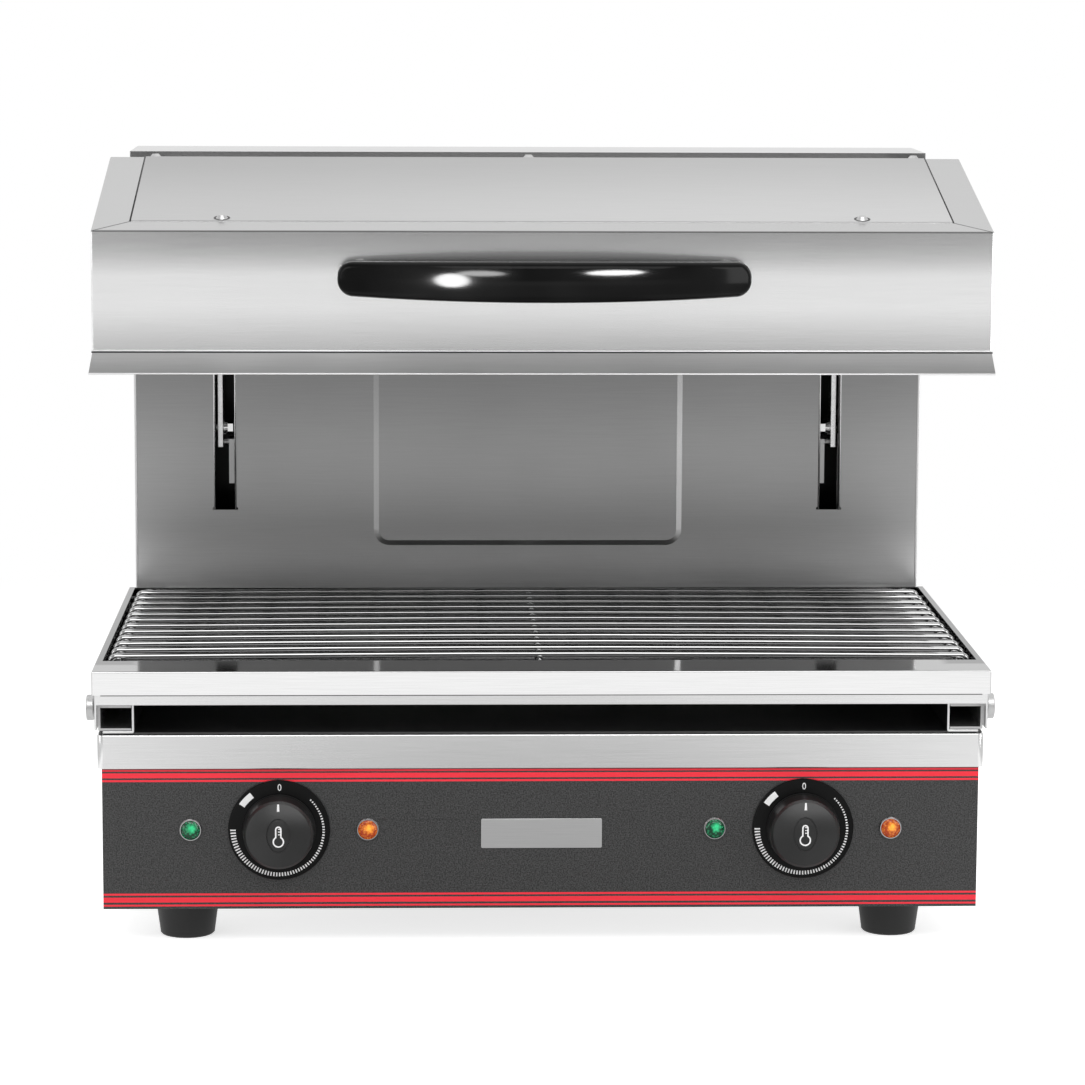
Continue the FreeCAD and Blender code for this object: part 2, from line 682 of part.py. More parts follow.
def make_fascia():
    """Front panel with holes for the shafts and the pilot lights."""
    body = new_body("front_fascia")
    shafts = [(f"{side} * dial_x", "dial_z", "shaft_hole_radius") for side in (-1, 1)]
    lights = [(x, "dial_z", "light_radius") for x in LIGHT_X]
    add_slab(body, "XZ", "fascia_y", "fascia_back_y",
             [block("-side_x", "side_x", "base_z", "trim_z")], shafts + lights)


LIGHT_X = [f"{side} * dial_x {way} light_offset" for side in (-1, 1) for way in "-+"]


def make_trim_band():
    """Rolled band round the front and the sides above the fascia."""
    body = new_body("trim_band")
    add_slab(body, "XY", "trim_z", "trim_top_z", [[
        ("-trim_x", "trim_y"), ("trim_x", "trim_y"), ("trim_x", "splash_y"),
        ("trim_x - trim_wall", "splash_y"), ("trim_x - trim_wall", "trim_y + trim_wall"),
        ("-(trim_x - trim_wall)", "trim_y + trim_wall"), ("-(trim_x - trim_wall)", "splash_y"),
        ("-trim_x", "splash_y"),
    ]])
    round_edges(body, "trim_corner", lambda edge: runs_along(edge, 2) and lies_at(edge, 1, "trim_y"))


def make_deck_plate():
    """Plate that closes the base under the drip pan."""
    body = new_body("deck_plate")
    add_slab(body, "XY", "trim_top_z", "plate_z",
             [block("-(trim_x - cover_wall)", "trim_x - cover_wall", "trim_y + trim_corner", "splash_y")])


def make_rail(label, side):
    """Channel rail, open outward, that a runner slides in."""
    body = new_body(label)
    near, far = "rail_x", "rail_x + rail_width"
    web = "rail_x + rail_wall"
    low, high = "plate_z", "rail_top_z"
    outline = [
        (near, low), (far, low), (far, f"{low} + rail_wall"), (web, f"{low} + rail_wall"),
        (web, f"{high} - rail_wall"), (far, f"{high} - rail_wall"), (far, high), (near, high),
    ]
    add_slab(body, "XZ", "rail_y", "rail_y + rail_length", [mirrored(outline, side)])
    round_edges(body, "rail_wall * 0.9",
                lambda edge: runs_along(edge, 1) and lies_at(edge, 0, f"{side} * {near}"))


def mirrored(corners, side):
    """The same corners, or their mirror image on the left side."""
    if side > 0:
        return corners
    return [(f"-({corner[0]})", corner[1]) for corner in corners]


# Column

def make_splash_panel():
    """Front of the column: sheets welded round two slots, with folded slot edges and a raised field."""
    near, far = "slot_x - slot_width / 2", "slot_x + slot_width / 2"
    slit = "(relief_width - slot_width) / 2"
    middle = part_of_group("splash_middle")
    add_slab(middle, "XZ", "splash_y", "splash_back_y",
             [block(f"-({near})", near, "plate_z", "panel_top_z")])
    half, foot = "bead_width / 2", "rim_z + bead_foot"
    bead = add_slab(middle, "XZ", "splash_y - bead_rise", "splash_y", [[
        (f"-{half}", "slot_high_z"), (f"-{half}", f"{foot} + bead_corner", "bead_corner", -1),
        (f"-({half} - bead_corner)", foot), (f"{half} - bead_corner", foot, "bead_corner", -1),
        (half, f"{foot} + bead_corner"), (half, "slot_high_z"),
    ]])
    bind(bead, "TaperAngle", "-atan(bead_slope / bead_rise)")
    sheets = [middle]
    for side in (-1, 1):
        fold_and_notch(middle, side, near, f"{near} - slot_fold", f"{near} - {slit}")
        outer = part_of_group("splash_side")
        add_slab(outer, "XZ", "splash_y", "splash_back_y",
                 [mirrored(block(far, "inside_x", "plate_z", "panel_top_z"), side)])
        fold_and_notch(outer, side, far, f"{far} + slot_fold", f"{far} + {slit}")
        sheets.append(outer)
        for low, high in (("plate_z", "slot_low_z"), ("slot_high_z", "panel_top_z")):
            bridge = part_of_group("splash_bridge")
            add_slab(bridge, "XZ", "splash_y", "splash_back_y",
                     [mirrored(block(near, far, low, high), side)])
            sheets.append(bridge)
    keep_group(sheets, "splash_panel")


def fold_and_notch(body, side, edge, fold, notch):
    """Fold a slot's edge back into the column, and cut the slit under the fold."""
    level = "slot_low_z + relief_height"
    add_slab(body, "XZ", "splash_back_y", "splash_back_y + slot_fold_depth",
             [mirrored(block(edge, fold, level, "slot_high_z"), side)])
    cut_slab(body, "XZ", "splash_y", "splash_back_y",
             [mirrored(block(edge, notch, "slot_low_z", level), side)])


def make_rear_cover():
    """Back of the column and the base, with vent slots and the cable hole."""
    body = new_body("rear_cover")
    add_slab(body, "XZ", "back_y - cover_wall", "back_y",
             [block("-inside_x", "inside_x", "base_z", "panel_top_z")],
             [("gland_side", "base_z + gland_height", "gland_bore_radius + gland_collar")]
             + [(f"-({x})", z, SCREW_HOLE) for x, z in REAR_SCREWS])
    for x in ("-side_x / 2", "side_x / 2"):
        for level in ("trim_top_z - 5 * vent_pitch", "panel_top_z - 12 * vent_pitch"):
            slots = [block(f"{x} - vent_length / 2", f"{x} + vent_length / 2",
                           f"{level} + {step} * vent_pitch",
                           f"{level} + {step} * vent_pitch + vent_width") for step in range(7)]
            cut_slab(body, "XZ", "back_y - cover_wall", "back_y", slots)


def make_column_cap():
    """Cap on the column with a rim that laps over the panels."""
    body = new_body("column_cap")
    add_slab(body, "XY", "panel_top_z - cap_lap", "cap_z",
             [block("-(side_x + cap_wall)", "side_x + cap_wall", "splash_y - cap_wall", "back_y + cap_wall")])
    cut_slab(body, "XY", "panel_top_z - cap_lap", "panel_top_z",
             [block("-side_x", "side_x", "splash_y", "back_y")])


def make_guide(label, side):
    """Upright channel, open inward, that two lift rollers run in."""
    body = new_body(label)
    near = "roller_x - spacer_width / 3"
    far = "guide_x + guide_wall"
    front, back = "axle_y - guide_gap", "axle_y + guide_gap"
    outline = [
        (near, f"{front} - guide_wall"), (far, f"{front} - guide_wall"),
        (far, f"{back} + guide_wall"), (near, f"{back} + guide_wall"),
        (near, back), ("guide_x", back), ("guide_x", front), (near, front),
    ]
    add_slab(body, "XY", "guide_low_z", "guide_high_z", [mirrored(outline, side)])
    tab = block("roller_x", far, "splash_back_y", f"{front} - guide_wall")
    for low in ("rim_z + guide_tab / 2", "guide_high_z - guide_tab"):
        add_slab(body, "XY", low, f"{low} + guide_tab", [mirrored(tab, side)])


def make_strut_cylinder(label, side):
    """Gas strut's cylinder with a bore, a gland at its top and an eye at its foot."""
    body = new_body(label)
    turn_profile(body, [
        ("0", "0"), ("strut_radius", "0"), ("strut_radius", "strut_body"),
        ("rod_radius + turn_play", "strut_body"),
        ("rod_radius + turn_play", "strut_body - strut_wall"),
        ("strut_bore_radius", "strut_body - strut_wall"),
        ("strut_bore_radius", "strut_wall"), ("0", "strut_wall"),
    ])
    add_slab(body, "YZ", "-strut_eye_radius * 0.6", "strut_eye_radius * 0.6",
             rings=[("0", "-strut_eye_radius * 0.9", "strut_eye_radius")])
    cut_slab(body, "YZ", "-strut_eye_radius", "strut_eye_radius",
             rings=[("0", "-strut_eye_radius", "strut_pin_radius")])
    place(body, f"{side} * strut_x", "strut_y", "strut_low_z")


def make_strut_feet():
    """Two forked brackets on the base that hold the struts' lower pins."""
    forks = []
    for side in (-1, 1):
        body = part_of_group("strut_foot")
        add_slab(body, "XY", "0", "bar_wall",
                 [block("-2 * strut_eye_radius", "2 * strut_eye_radius",
                        "-strut_eye_radius", "strut_eye_radius")])
        for cheek in (-1, 1):
            near, far = f"{cheek} * strut_eye_radius * 0.6", f"{cheek} * (strut_eye_radius * 0.6 + bar_wall)"
            low, high = sorted((near, far), key=number)
            add_slab(body, "YZ", low, high,
                     [block("-strut_eye_radius", "strut_eye_radius", "0",
                            "strut_pin_height + strut_eye_radius * 0.8")])
        add_slab(body, "YZ", "-(strut_eye_radius * 0.6 + 2 * bar_wall)", "strut_eye_radius * 0.6 + 2 * bar_wall",
                 rings=[("0", "strut_pin_height", "strut_pin_radius")])
        place(body, f"{side} * strut_x", "strut_y", "floor_z")
        forks.append(body)
    keep_group(forks, "strut_feet")


# Controls

def make_bezels():
    """Printed rings round the dials."""
    rings = []
    for side in (-1, 1):
        body = part_of_group("dial_ring")
        add_slab(body, "XZ", "bezel_y", "fascia_y",
                 rings=[(f"{side} * dial_x", "dial_z", "bezel_radius"),
                        (f"{side} * dial_x", "dial_z", "shaft_hole_radius")])
        bevel_edges(body, "bezel_wall / 4",
                    lambda edge: lies_at(edge, 1, "bezel_y")
                    and edge.BoundBox.XLength > number("bezel_radius"))
        rings.append(body)
    keep_group(rings, "dial_rings")


def make_knob(label, side):
    """Dial knob: a skirt, a domed face with an oval dish, and a boss for the shaft."""
    body = new_body(label)
    turn_profile(body, [
        ("knob_boss_radius", "knob_wall"), ("knob_boss_radius", "knob_wall / 4"),
        ("shaft_radius", "knob_wall / 4"),
        ("shaft_radius", "knob_depth - 2 * knob_wall"), ("0", "knob_depth - 2 * knob_wall"),
        ("0", "knob_depth"), ("knob_face_radius - knob_bevel", "knob_depth"),
        ("knob_face_radius", "knob_depth - knob_bevel"),
        ("knob_radius - knob_foot / 8", "knob_foot"), ("knob_radius", "knob_foot * 0.8"),
        ("knob_radius", "0"),
        ("knob_radius - knob_wall", "0"), ("knob_face_radius - knob_wall", "knob_depth - 2 * knob_wall"),
        ("knob_boss_radius", "knob_depth - 2 * knob_wall"),
    ])
    wide, tall = "dish_width / 2", "dish_height / 2"
    cut_slab(body, "XY", "knob_depth - dish_depth", "knob_depth", [[
        (wide, f"-{tall}", "dish_side_radius", -1), (wide, tall, "dish_end_radius", -1),
        (f"-{wide}", tall, "dish_side_radius", -1), (f"-{wide}", f"-{tall}", "dish_end_radius", -1),
    ]])
    place(body, f"{side} * dial_x", "knob_back_y", "dial_z", FACE_FRONT)


def make_shaft(label, side):
    """Thermostat's shaft, which turns with its knob."""
    body = new_body(label)
    add_slab(body, "XZ", "knob_face_y + 2 * knob_wall", "fascia_back_y + thermostat_depth * 0.6",
             rings=[(f"{side} * dial_x", "dial_z", "shaft_radius")])


def make_thermostats():
    """Thermostats behind the fascia, each with a bush for the shaft and three terminals."""
    boxes = []
    for side in (-1, 1):
        body = part_of_group("thermostat")
        x = f"{side} * dial_x"
        far = "fascia_back_y + thermostat_depth"
        add_slab(body, "XZ", "fascia_back_y", far,
                 [block(f"{x} - thermostat_width / 2", f"{x} + thermostat_width / 2",
                        "dial_z - thermostat_height / 2", "dial_z + thermostat_height / 2")])
        add_slab(body, "XZ", "fascia_y", "fascia_back_y", rings=[(x, "dial_z", "shaft_hole_radius")])
        for step in (-1, 0, 1):
            spot = f"{x} + {step} * thermostat_width / 3"
            add_slab(body, "XZ", far, f"{far} + 3 * terminal_width / 2",
                     [block(f"{spot} - terminal_width / 2", f"{spot} + terminal_width / 2",
                            "dial_z - terminal_wall / 2", "dial_z + terminal_wall / 2")])
        cut_slab(body, "XZ", "fascia_y", "fascia_back_y + thermostat_depth * 0.7",
                 rings=[(x, "dial_z", "shaft_radius + turn_play")])
        boxes.append(body)
    keep_group(boxes, "thermostats")


def make_lights():
    """Pilot lights: chromed rings, and green and amber lenses with their barrels."""
    rings = []
    lenses = {"green": [], "amber": []}
    for index, x in enumerate(LIGHT_X):
        ring = part_of_group("light_ring")
        turn_profile(ring, [
            ("light_radius", "0"), ("light_radius + light_rim", "0"),
            ("light_radius + light_rim", "light_rim"), ("light_radius + light_rim / 2", "light_rim * 1.6"),
            ("light_radius", "light_rim * 1.6"),
        ])
        place(ring, x, "fascia_y", "dial_z", FACE_FRONT)
        rings.append(ring)
        lens = part_of_group("light_lens")
        turn_profile(lens, [
            ("0", "-light_depth"), ("light_radius", "-light_depth"), ("light_radius", "light_rim"),
            ("light_radius * 0.7", "light_rim * 2.4"), ("0", "light_rim * 3"),
        ])
        place(lens, x, "fascia_y", "dial_z", FACE_FRONT)
        lenses["green" if index % 2 == 0 else "amber"].append(lens)
    keep_group(rings, "light_rings")
    keep_group(lenses["green"], "green_lenses")
    keep_group(lenses["amber"], "amber_lenses")


def make_terminal_block():
    """Ceramic terminal block on the floor of the base."""
    body = new_body("terminal_block")
    x, y = "gland_side", "back_y - cover_wall - 3 * gland_radius"
    add_slab(body, "XY", "floor_z", "floor_z + gland_radius * 2",
             [block(f"{x} - 2 * gland_radius", f"{x} + 2 * gland_radius",
                    f"{y} - gland_radius", f"{y} + gland_radius")])
    for step in (-1, 0, 1):
        cut_slab(body, "XY", "floor_z + gland_radius", "floor_z + gland_radius * 2",
                 [block(f"{x} + {step} * gland_radius * 1.2 - block_slot / 2",
                        f"{x} + {step} * gland_radius * 1.2 + block_slot / 2",
                        f"{y} - gland_radius", f"{y} + gland_radius - block_web")])


def make_gland():
    """Cable gland in the rear cover: flange, nut and tapered nose."""
    body = new_body("cable_gland")
    turn_profile(body, [
        ("gland_bore_radius", "-gland_inside"), ("gland_bore_radius + gland_collar", "-gland_inside"),
        ("gland_bore_radius + gland_collar", "0"),
        ("gland_radius", "0"), ("gland_radius", "gland_reach / 2"),
        ("gland_radius - 1.6 * gland_taper", "gland_reach - gland_taper"),
        ("gland_radius - 2.6 * gland_taper", "gland_reach"),
        ("gland_bore_radius", "gland_reach"),
    ])
    place(body, "gland_side", "back_y", "base_z + gland_height", FACE_BACK)


# Drip pan and rack

def make_pan():
    """Drip pan: a rolled rim with a lip all round and a shallow basin."""
    body = new_body("drip_pan")
    add_slab(body, "XY", "lip_z", "rim_z", [block("-pan_x", "pan_x", "lip_y", "pan_back_y")])
    round_edges(body, "pan_wall * 0.9", lambda edge: lies_at(edge, 2, "rim_z")
                or (runs_along(edge, 2) and not lies_at(edge, 1, "pan_back_y")))
    cut_slab(body, "XY", "lip_z", "rim_z - pan_wall", [
        block("-(pan_x - pan_wall)", "pan_x - pan_wall", "lip_y + pan_wall", "pan_back_y - pan_wall"),
        block("-(basin_x + pan_wall)", "basin_x + pan_wall",
              "basin_front_y - pan_wall", "basin_back_y + pan_wall"),
    ])
    cut_slab(body, "XY", "lip_z", "basin_z - pan_wall",
             [block("-(basin_x + 2 * pan_wall)", "basin_x + 2 * pan_wall",
                    "basin_front_y - 2 * pan_wall", "basin_back_y + 2 * pan_wall")])
    cut_slab(body, "XY", "basin_z", "rim_z",
             [block("-basin_x", "basin_x", "basin_front_y", "basin_back_y")])
    round_edges(body, "basin_depth / 3", lambda edge: lies_at(edge, 2, "basin_z"))


def make_tray_frame():
    """Frame under the pan; its sides reach down past the rails."""
    body = new_body("tray_frame")
    add_slab(body, "XY", "strip_z", "rim_z - pan_wall", [
        block("-frame_x", "frame_x", "frame_front_y", "frame_back_y"),
        block("-runner_x", "runner_x", "frame_front_y + frame_wall", "frame_back_y - frame_wall"),
    ])
    holes = []
    for side in (-1, 1):
        low, high = sorted((f"{side} * runner_x", f"{side} * frame_x"), key=number)
        add_slab(body, "XY", "skirt_z", "strip_z",
                 [block(low, high, "frame_front_y", "rail_y + runner_length")])
        holes.append((low, high))
    for low, high in holes:
        cut_slab(body, "YZ", low, high, rings=[("thumb_y", "thumb_z", "thumb_stem_radius + turn_play")])


def make_runner(label, side):
    """Channel runner on the tray frame that slides inside a rail."""
    body = new_body(label)
    far = "runner_x"
    web = "runner_x - rail_wall"
    near = "rail_x + rail_wall + slide_play"
    low = "plate_z + rail_wall + slide_play"
    high = "rail_top_z - rail_wall - slide_play"
    outline = [
        (near, low), (far, low), (far, high), (near, high),
        (near, f"{high} - rail_wall"), (web, f"{high} - rail_wall"),
        (web, f"{low} + rail_wall"), (near, f"{low} + rail_wall"),
    ]
    add_slab(body, "XZ", "rail_y + slide_play", "rail_y + runner_length", [mirrored(outline, side)])
    low_x, high_x = sorted((f"{side} * {far}", f"{side} * ({web})"), key=number)
    cut_slab(body, "YZ", low_x, high_x, rings=[("thumb_y", "thumb_z", "thumb_stem_radius + turn_play")])


def make_thumbscrew(label, side):
    """Knurled thumbscrew that locks the tray to its runner."""
    body = new_body(label)
    turn_profile(body, [
        ("0", "-(frame_wall + rail_wall)"), ("thumb_stem_radius", "-(frame_wall + rail_wall)"),
        ("thumb_stem_radius", "0"), ("thumb_stem_radius + 2", "0"),
        ("thumb_radius * 0.6", "thumb_neck"), ("thumb_radius - thumb_bevel", "thumb_neck"),
        ("thumb_radius", "thumb_neck + thumb_bevel"),
        ("thumb_radius", "thumb_neck + thumb_wall - thumb_bevel"),
        ("thumb_radius - thumb_bevel", "thumb_neck + thumb_wall"), ("0", "thumb_neck + thumb_wall"),
    ])
    place(body, f"{side} * frame_x", "thumb_y", "thumb_z", FACE_RIGHT if side > 0 else FACE_LEFT)


def make_rack():
    """Wire rack: an outer wire, a middle wire and crowned cross wires with bent ends."""
    frame_radius = number("frame_rod_radius")
    rod_radius = number("grid_rod_radius")
    bite = number("weld_bite")
    frame_z = number("basin_z") + frame_radius
    rod_z = frame_z + frame_radius + rod_radius - bite
    end_x = number("basin_x - rack_play") - rod_radius
    frame_x = end_x - rod_radius - frame_radius + bite
    front = number("basin_front_y + rack_play") + frame_radius
    back = number("basin_back_y - rack_play") - frame_radius
    corner = number("rack_corner")
    half_path = [Vector(0, front, frame_z), Vector(frame_x, front, frame_z),
                 Vector(frame_x, back, frame_z), Vector(0, back, frame_z)]
    half = bent_rod(half_path, [corner, corner], frame_radius)
    outer = half.fuse(half.mirror(Vector(), Vector(1, 0, 0)))
    middle = Part.makeCylinder(rod_radius, back - front, Vector(0, front, rod_z - 2 * rod_radius + bite),
                               Vector(0, 1, 0))
    rods = [middle]
    bend = number("grid_bend")
    crown = number("grid_crown")
    crown_radius = end_x ** 2 / (2 * crown)
    for index in range(int(number("grid_rods"))):
        y = number("lip_y + grid_front") + index * number("grid_pitch")
        points = [Vector(-end_x, y, frame_z - frame_radius + rod_radius), Vector(-end_x, y, rod_z),
                  Vector(0, y, rod_z + crown),
                  Vector(end_x, y, rod_z), Vector(end_x, y, frame_z - frame_radius + rod_radius)]
        rods.append(bent_rod(points, [bend, crown_radius, bend], rod_radius))
    keep_shape(outer.multiFuse(rods), "wire_rack")


# Head

def top_line(drop):
    """The head's top seen from the side, lowered by some amount."""
    return [("head_back_y", f"rear_z - ({drop})"), ("ridge_y", f"ridge_z - ({drop})"),
            ("window_y", f"window_z - ({drop})")]


def make_head_shell():
    """Face, sides and top strips of the head in one folded shell."""
    body = new_body("head_shell")
    add_slab(body, "YZ", "-head_x", "head_x", [[
        ("face_y", "face_z"), ("head_back_y", "face_z"), ("head_back_y", "rear_z"),
        ("ridge_y", "ridge_z"), ("face_y", "edge_z"),
    ]])
    wall = "cover_wall"
    cut_slab(body, "YZ", f"-(head_x - {wall})", f"head_x - {wall}", [[
        (f"face_y + {wall}", "face_z"), ("head_back_y", "face_z"),
        ("head_back_y", f"rear_z - 2 * {wall}"), ("ridge_y", f"ridge_z - 2 * {wall}"),
        (f"face_y + {wall}", f"edge_z - 2 * {wall}"),
    ]])
    cut_slab(body, "YZ", "-window_x", "window_x", [top_line("-ledge_width") + top_line(wall)[::-1]])
    inner = "ledge_width"
    cut_slab(body, "YZ", f"-(window_x - {inner})", f"window_x - {inner}", [[
        ("head_back_y", "rear_z"), ("ridge_y", "ridge_z"),
        (f"window_y + {inner}", f"window_z + {inner} * ridge_rise / ridge_setback"),
        (f"window_y + {inner}", f"window_z - 4 * {wall}"),
        ("ridge_y", f"ridge_z - 4 * {wall}"), ("head_back_y", f"rear_z - 4 * {wall}"),
    ]])


def make_top_panel():
    """Bent panel in the head's top, a little proud of the strips round it."""
    body = new_body("top_panel")
    add_slab(body, "YZ", "-panel_x", "panel_x",
             [top_line("-panel_proud") + top_line("cover_wall")[::-1]])
    holes = [(x, TOP_SCREW_Y[row], "screw_radius * 1.3") for row, spots in TOP_SCREWS.items()
             for x in spots]
    cut_slab(body, "XY", "edge_z", "ridge_z + 2 * panel_proud", rings=holes)


def make_head_back():
    """Back of the head."""
    body = new_body("head_back")
    add_slab(body, "XZ", "head_back_y", "head_back_y + cover_wall",
             [block("-(head_x - cover_wall)", "head_x - cover_wall", "face_z", "rear_z - cover_wall")])


def mitred_quads(x, front, back, wall):
    """Outlines of four strips, mitred at their corners, inside a rectangle."""
    outer = block(f"-({x})", x, front, back)
    inner = block(f"-({x} - ({wall}))", f"{x} - ({wall})", f"{front} + ({wall})", f"{back} - ({wall})")
    return [[outer[index], outer[(index + 1) % 4], inner[(index + 1) % 4], inner[index]]
            for index in range(4)]


def mitred_walls(label, low, high, wall):
    """Four leaning walls, mitred at their corners, between two levels (z, x, front, back)."""
    walls = []
    for foot, top in zip(mitred_quads(*low[1:], wall), mitred_quads(*high[1:], wall)):
        body = part_of_group(label)
        ends = []
        for level, outline in ((low[0], foot), (high[0], top)):
            sketch = new_sketch(body, "XY", level)
            draw_loop(sketch, outline)
            ends.append(sketch)
        loft = body.newObject("PartDesign::AdditiveLoft", "Wall")
        loft.Profile = ends[0]
        loft.Sections = [ends[1]]
        loft.Ruled = True
        body.Tip = loft
        walls.append(body)
    return walls


def make_flared_lip():
    """Flared lip under the head, mitred at its corners, with a flange that carries the reflector."""
    walls = mitred_walls(
        "lip_wall",
        ("flare_z", "head_x + flare_out", "face_y - flare_out", "head_back_y + flare_out"),
        ("face_z - cover_wall", "head_x", "face_y", "head_back_y"), "cover_wall")
    flange = mitred_quads("head_x", "face_y", "head_back_y", "flange_width")
    for body, outline in zip(walls, flange):
        add_slab(body, "XY", "face_z - cover_wall", "face_z", [outline])
    keep_group(walls, "flared_lip")


def make_handle():
    """Bowed handle, taller in its middle, with a post near each end."""
    body = new_body("handle")
    half = "grip_length / 2"
    back_radius = "((grip_length / 2) ^ 2 + grip_bow ^ 2) / (2 * grip_bow)"
    back = "face_y - grip_standoff"
    front = f"{back} - grip_thick"
    add_slab(body, "XY", "grip_z - grip_height", "grip_z + grip_height", [[
        (f"-({half})", front, back_radius, -1), (half, front),
        (half, back, back_radius, 1), (f"-({half})", back),
    ]])
    swell = "(grip_height - grip_end_height) / 2"
    swell_radius = f"((grip_length / 2) ^ 2 + ({swell}) ^ 2) / (2 * {swell})"
    low, high = "grip_z - grip_end_height / 2", "grip_z + grip_end_height / 2"
    near, far = "face_y - grip_standoff - grip_thick - 2 * grip_bow", "face_y"
    cut_slab(body, "XZ", near, far, [[
        (f"-({half})", high, swell_radius, 1), (half, high),
        (half, "grip_z + 2 * grip_height"), (f"-({half})", "grip_z + 2 * grip_height"),
    ], [
        (f"-({half})", low, swell_radius, -1), (half, low),
        (half, "grip_z - 2 * grip_height"), (f"-({half})", "grip_z - 2 * grip_height"),
    ]])
    round_edges(body, "grip_end_height * 0.46", lambda edge: runs_along(edge, 1))
    round_edges(body, "grip_edge", lambda edge: True)
    for side in (-1, 1):
        add_slab(body, "XZ", f"{back} - grip_thick / 2", "face_y",
                 rings=[(f"{side} * (grip_length / 2 - grip_foot_inset)",
                         "grip_z + grip_foot_rise", "grip_foot_radius")])


def make_reflector():
    """Inverted reflector tray above the heating tubes: four leaning walls and a ceiling."""
    wall, lean = "cover_wall", "reflector_slant"
    inner = ("reflector_x - reflector_slant", "reflector_front_y + reflector_slant",
             "reflector_back_y - reflector_slant")
    walls = mitred_walls("reflector_wall",
                         (f"face_z + {wall}", "reflector_x", "reflector_front_y", "reflector_back_y"),
                         ("ceiling_z", *inner), wall)
    flange = mitred_quads("reflector_x + reflector_flange", "reflector_front_y - reflector_flange",
                          "reflector_back_y + reflector_flange", f"reflector_flange + {wall}")
    for body, outline in zip(walls, flange):
        add_slab(body, "XY", "face_z", f"face_z + {wall}", [outline])
    tails = [(f"{side} * (element_margin + element_pitch * ({run} + 0.5))", "element_z",
              "element_radius + turn_play")
             for side in (-1, 1) for run in ("0", "(element_runs - 1)")]
    cut_slab(walls[2], "XZ", f"reflector_back_y - {lean} - {wall}", "reflector_back_y", rings=tails)
    ceiling = part_of_group("reflector_ceiling")
    add_slab(ceiling, "XY", "ceiling_z", f"ceiling_z + {wall}", [block(f"-({inner[0]})", *inner)])
    keep_group(walls + [ceiling], "reflector")


def make_element(label, side):
    """Heating tube folded into parallel runs, with both ends at the back."""
    z = number("element_z")
    pitch = number("element_pitch")
    front = number("face_y + element_front")
    rear = number("head_back_y - element_back")
    end = number("head_back_y - cover_wall")
    count = int(number("element_runs"))
    points = []
    for run in range(count):
        x = side * (number("element_margin") + pitch / 2 + run * pitch)
        ends = (rear, front) if run % 2 == 0 else (front, rear)
        if run == 0:
            ends = (end, front)
        if run == count - 1:
            ends = (front, end)
        points += [Vector(x, y, z) for y in ends]
    keep_shape(bent_rod(points, [pitch / 2 - 0.01], number("element_radius")), label)


def make_element_clips():
    """Cross bars that hold the heating tubes under the reflector."""
    bars = []
    top = "ceiling_z"
    for y in ("face_y + ridge_setback * 0.55", "head_back_y - ridge_setback * 0.5"):
        for side in (-1, 1):
            body = part_of_group("element_bar")
            near = f"{side} * element_margin"
            far = f"{side} * (element_margin + element_pitch * (element_runs - 0.5) + element_radius)"
            low, high = sorted((near, far), key=number)
            floor = "element_z + element_radius"
            add_slab(body, "XY", floor, f"{floor} + clip_wall",
                     [block(low, high, f"{y} - clip_width / 2", f"{y} + clip_width / 2")])
            for spot in (f"{low} + clip_wall", f"{high} - clip_wall"):
                add_slab(body, "XY", f"{floor} + clip_wall", top,
                         [block(f"{spot} - clip_wall", f"{spot} + clip_wall",
                                f"{y} - clip_width / 2", f"{y} + clip_width / 2")])
            bars.append(body)
    keep_group(bars, "element_bars")


# Lift carriage

def make_arm(label, side):
    """Lift arm: an upright bar in the column with a lug through the slot to the head."""
    body = new_body(label)
    low, high = sorted((f"{side} * arm_in_x", f"{side} * arm_out_x"), key=number)
    add_slab(body, "YZ", low, high, [[
        ("arm_front_y", "arm_low_z"), ("arm_back_y", "arm_low_z"), ("arm_back_y", "arm_top_z"),
        ("head_back_y + cover_wall", "arm_top_z"),
        ("head_back_y + cover_wall", "face_z + arm_lug_rise"),
        ("arm_front_y", "face_z + arm_lug_rise"),
    ]], [("axle_y", "roller_low_z", "axle_radius"), ("axle_y", "roller_high_z", "axle_radius")])
    near = f"{side} * (arm_in_x - arm_flange)"
    far = f"{side} * arm_in_x"
    low, high = sorted((near, far), key=number)
    add_slab(body, "YZ", low, high, [block(
        "head_back_y + cover_wall", "head_back_y + cover_wall + arm_wall",
        "face_z + arm_lug_rise", "arm_top_z")])


def make_axle_bolts():
    """Four axle bolts with washers and spacers, seen through the slots."""
    bolts = []
    for side in (-1, 1):
        for level in ("roller_low_z", "roller_high_z"):
            body = part_of_group("axle_bolt")
            head = "-(arm_wall + 2 * washer_wall)"
            turn_profile(body, [
                ("0", head), ("washer_radius - 1", head), ("washer_radius - 1", f"{head} + washer_wall"),
                ("washer_radius", f"{head} + washer_wall"), ("washer_radius", "-arm_wall"),
                ("axle_radius", "-arm_wall"), ("axle_radius", "0"), ("spacer_radius", "0"),
                ("spacer_radius", "spacer_width"), ("axle_radius", "spacer_width"),
                ("axle_radius", "spacer_width + roller_width + 1"), ("0", "spacer_width + roller_width + 1"),
            ])
            corners = []
            for corner in range(6):
                corners.append((f"hex_width / 1.7320508 * cos({60 * corner} deg)",
                                f"hex_width / 1.7320508 * sin({60 * corner} deg)"))
            add_slab(body, "XY", f"{head} - hex_wall", head, [corners])
            place(body, f"{side} * arm_out_x", "axle_y", level, FACE_RIGHT if side > 0 else FACE_LEFT)
            bolts.append(body)
    keep_group(bolts, "axle_bolts")


